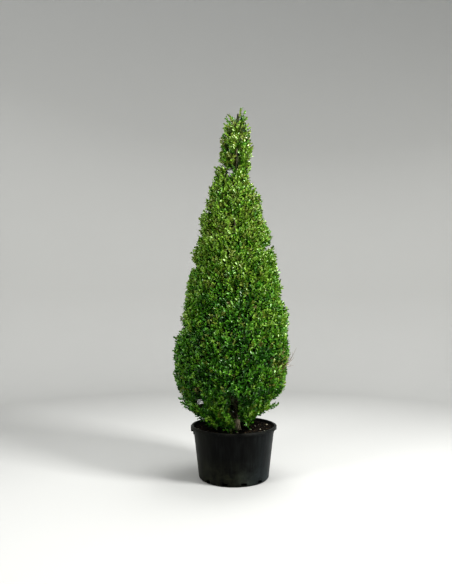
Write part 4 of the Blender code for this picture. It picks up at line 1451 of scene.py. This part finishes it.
def light_and_shade_by_place(x, height):
    """How much darker or paler the leaves are dealt near the places that the picture shows so, as
    painted shade and painted light.
    """
    return sum(
        age_and_shade * math.exp(-(((x - place_x) ** 2 + (height - place_height) ** 2) / reach**2))
        for place_x, place_height, reach, age_and_shade in LIGHT_AND_SHADE_PLACES
    )


print("greens:", ", ".join(GREENS))

# %% Deal the greens out
def choose_green(tip, depth, extra_age, dice):
    x, height = seen_at(tip)
    from_bronze = math.hypot(x - BRONZE_PLACE[0], height - BRONZE_PLACE[1])
    bronze_here = BRONZE_PLACE_SHARE * math.exp(-((from_bronze / BRONZE_REACH) ** 2))
    if dice.random() < BRONZE_SHARE + bronze_here:
        return dice.choice(("bronze", "olive", "olive"))
    if dice.random() < blend(OLIVE_SHARE, height):
        return "olive"
    patch = sum(age_and_shade * noise.noise(tip / size) for age_and_shade, size in AGE_PATCHES)
    # Depth and height add age that is partly painted shade, and the places add painted light and shade.
    age_and_shade = AGE_AND_SHADE_OF_DEPTH * depth / DEEPEST + patch + dice.gauss(0, AGE_CHANCE)
    age_and_shade += blend(AGE_AND_SHADE_BY_HEIGHT, height) + light_and_shade_by_place(x, height) + extra_age
    return FRESH_TO_DARK[min(max(int(age_and_shade), 0), len(FRESH_TO_DARK) - 1)]


def leaf_lines(shoot):
    """The older and the younger half of a shoot, with how far along it each point is."""
    last = len(shoot.line) - 1
    line = [(point, step / last) for step, (point, _) in enumerate(shoot.line)]
    middle = (last + 1) // 2
    yield line[: middle + 1], AGE_STEP
    yield line[middle:], -AGE_STEP


green_dice = random.Random(BOUGH_SEED + 3)
dealt = {name: [] for name in GREENS}
for shoot in shoots:
    for half, half_age in leaf_lines(shoot):
        green_name = choose_green(shoot.line[-1][0], shoot.depth, half_age, green_dice)
        dealt[green_name].append(half)
print({name: len(some) for name, some in dealt.items()})

# %% Leaves of each green
HALVES_PER_PIECE = 3000
LEAF_SIZES = {
    "Spacing": 0.0092,
    "Leaf_length": 0.034,
    "Length_spread": 0.22,
    "Tilt": math.radians(62),
    "Tilt_spread": math.radians(16),
}
LEAF_GLOSS = {
    "Roughness": 0.38,
    "Specular_IOR_Level": 0.75,
    "Specular_Tint": (0.95, 1.0, 0.82, 1),
}


def leaf_finish(name, colour):
    material, tree, shader = new_material("leaf_" + name, Base_Color=colour, **LEAF_GLOSS)
    grain = grain_at(tree, surface_place(tree), scale=260, detail=2)
    dented(tree, shader, grain, strength=0.3, depth=0.001)
    return material


for green_index, (green_name, green_colour) in enumerate(GREENS.items()):
    choices = {"Seed": green_index, "Green": leaf_finish(green_name, green_colour), **LEAF_SIZES}
    for batch_number, batch in batches(dealt[green_name], HALVES_PER_PIECE):
        halves = line_object(f"leaves_{green_name}_{batch_number}", batch, "way")
        leaves = run_tree(halves, LEAVES, Blades=blades, **choices)
        join_plant(leaves, "leaves", *foliage_nodes)
for blade in list(blades.objects):
    bpy.data.objects.remove(blade, do_unlink=True)
bpy.data.collections.remove(blades)

# %% [markdown]
# ## Compare the size
#
# The dressed plant should fill about the same box as the solids, so how far each edge of its box has
# moved from theirs is printed.

# %% Compare the boxes and finish
import json

dressed_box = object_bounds()
for label, low, high in zip("xyz", dressed_box[0] - solid_box[0], dressed_box[1] - solid_box[1]):
    print(label, "low edge moved", round(low, 4), "high edge moved", round(high, 4))
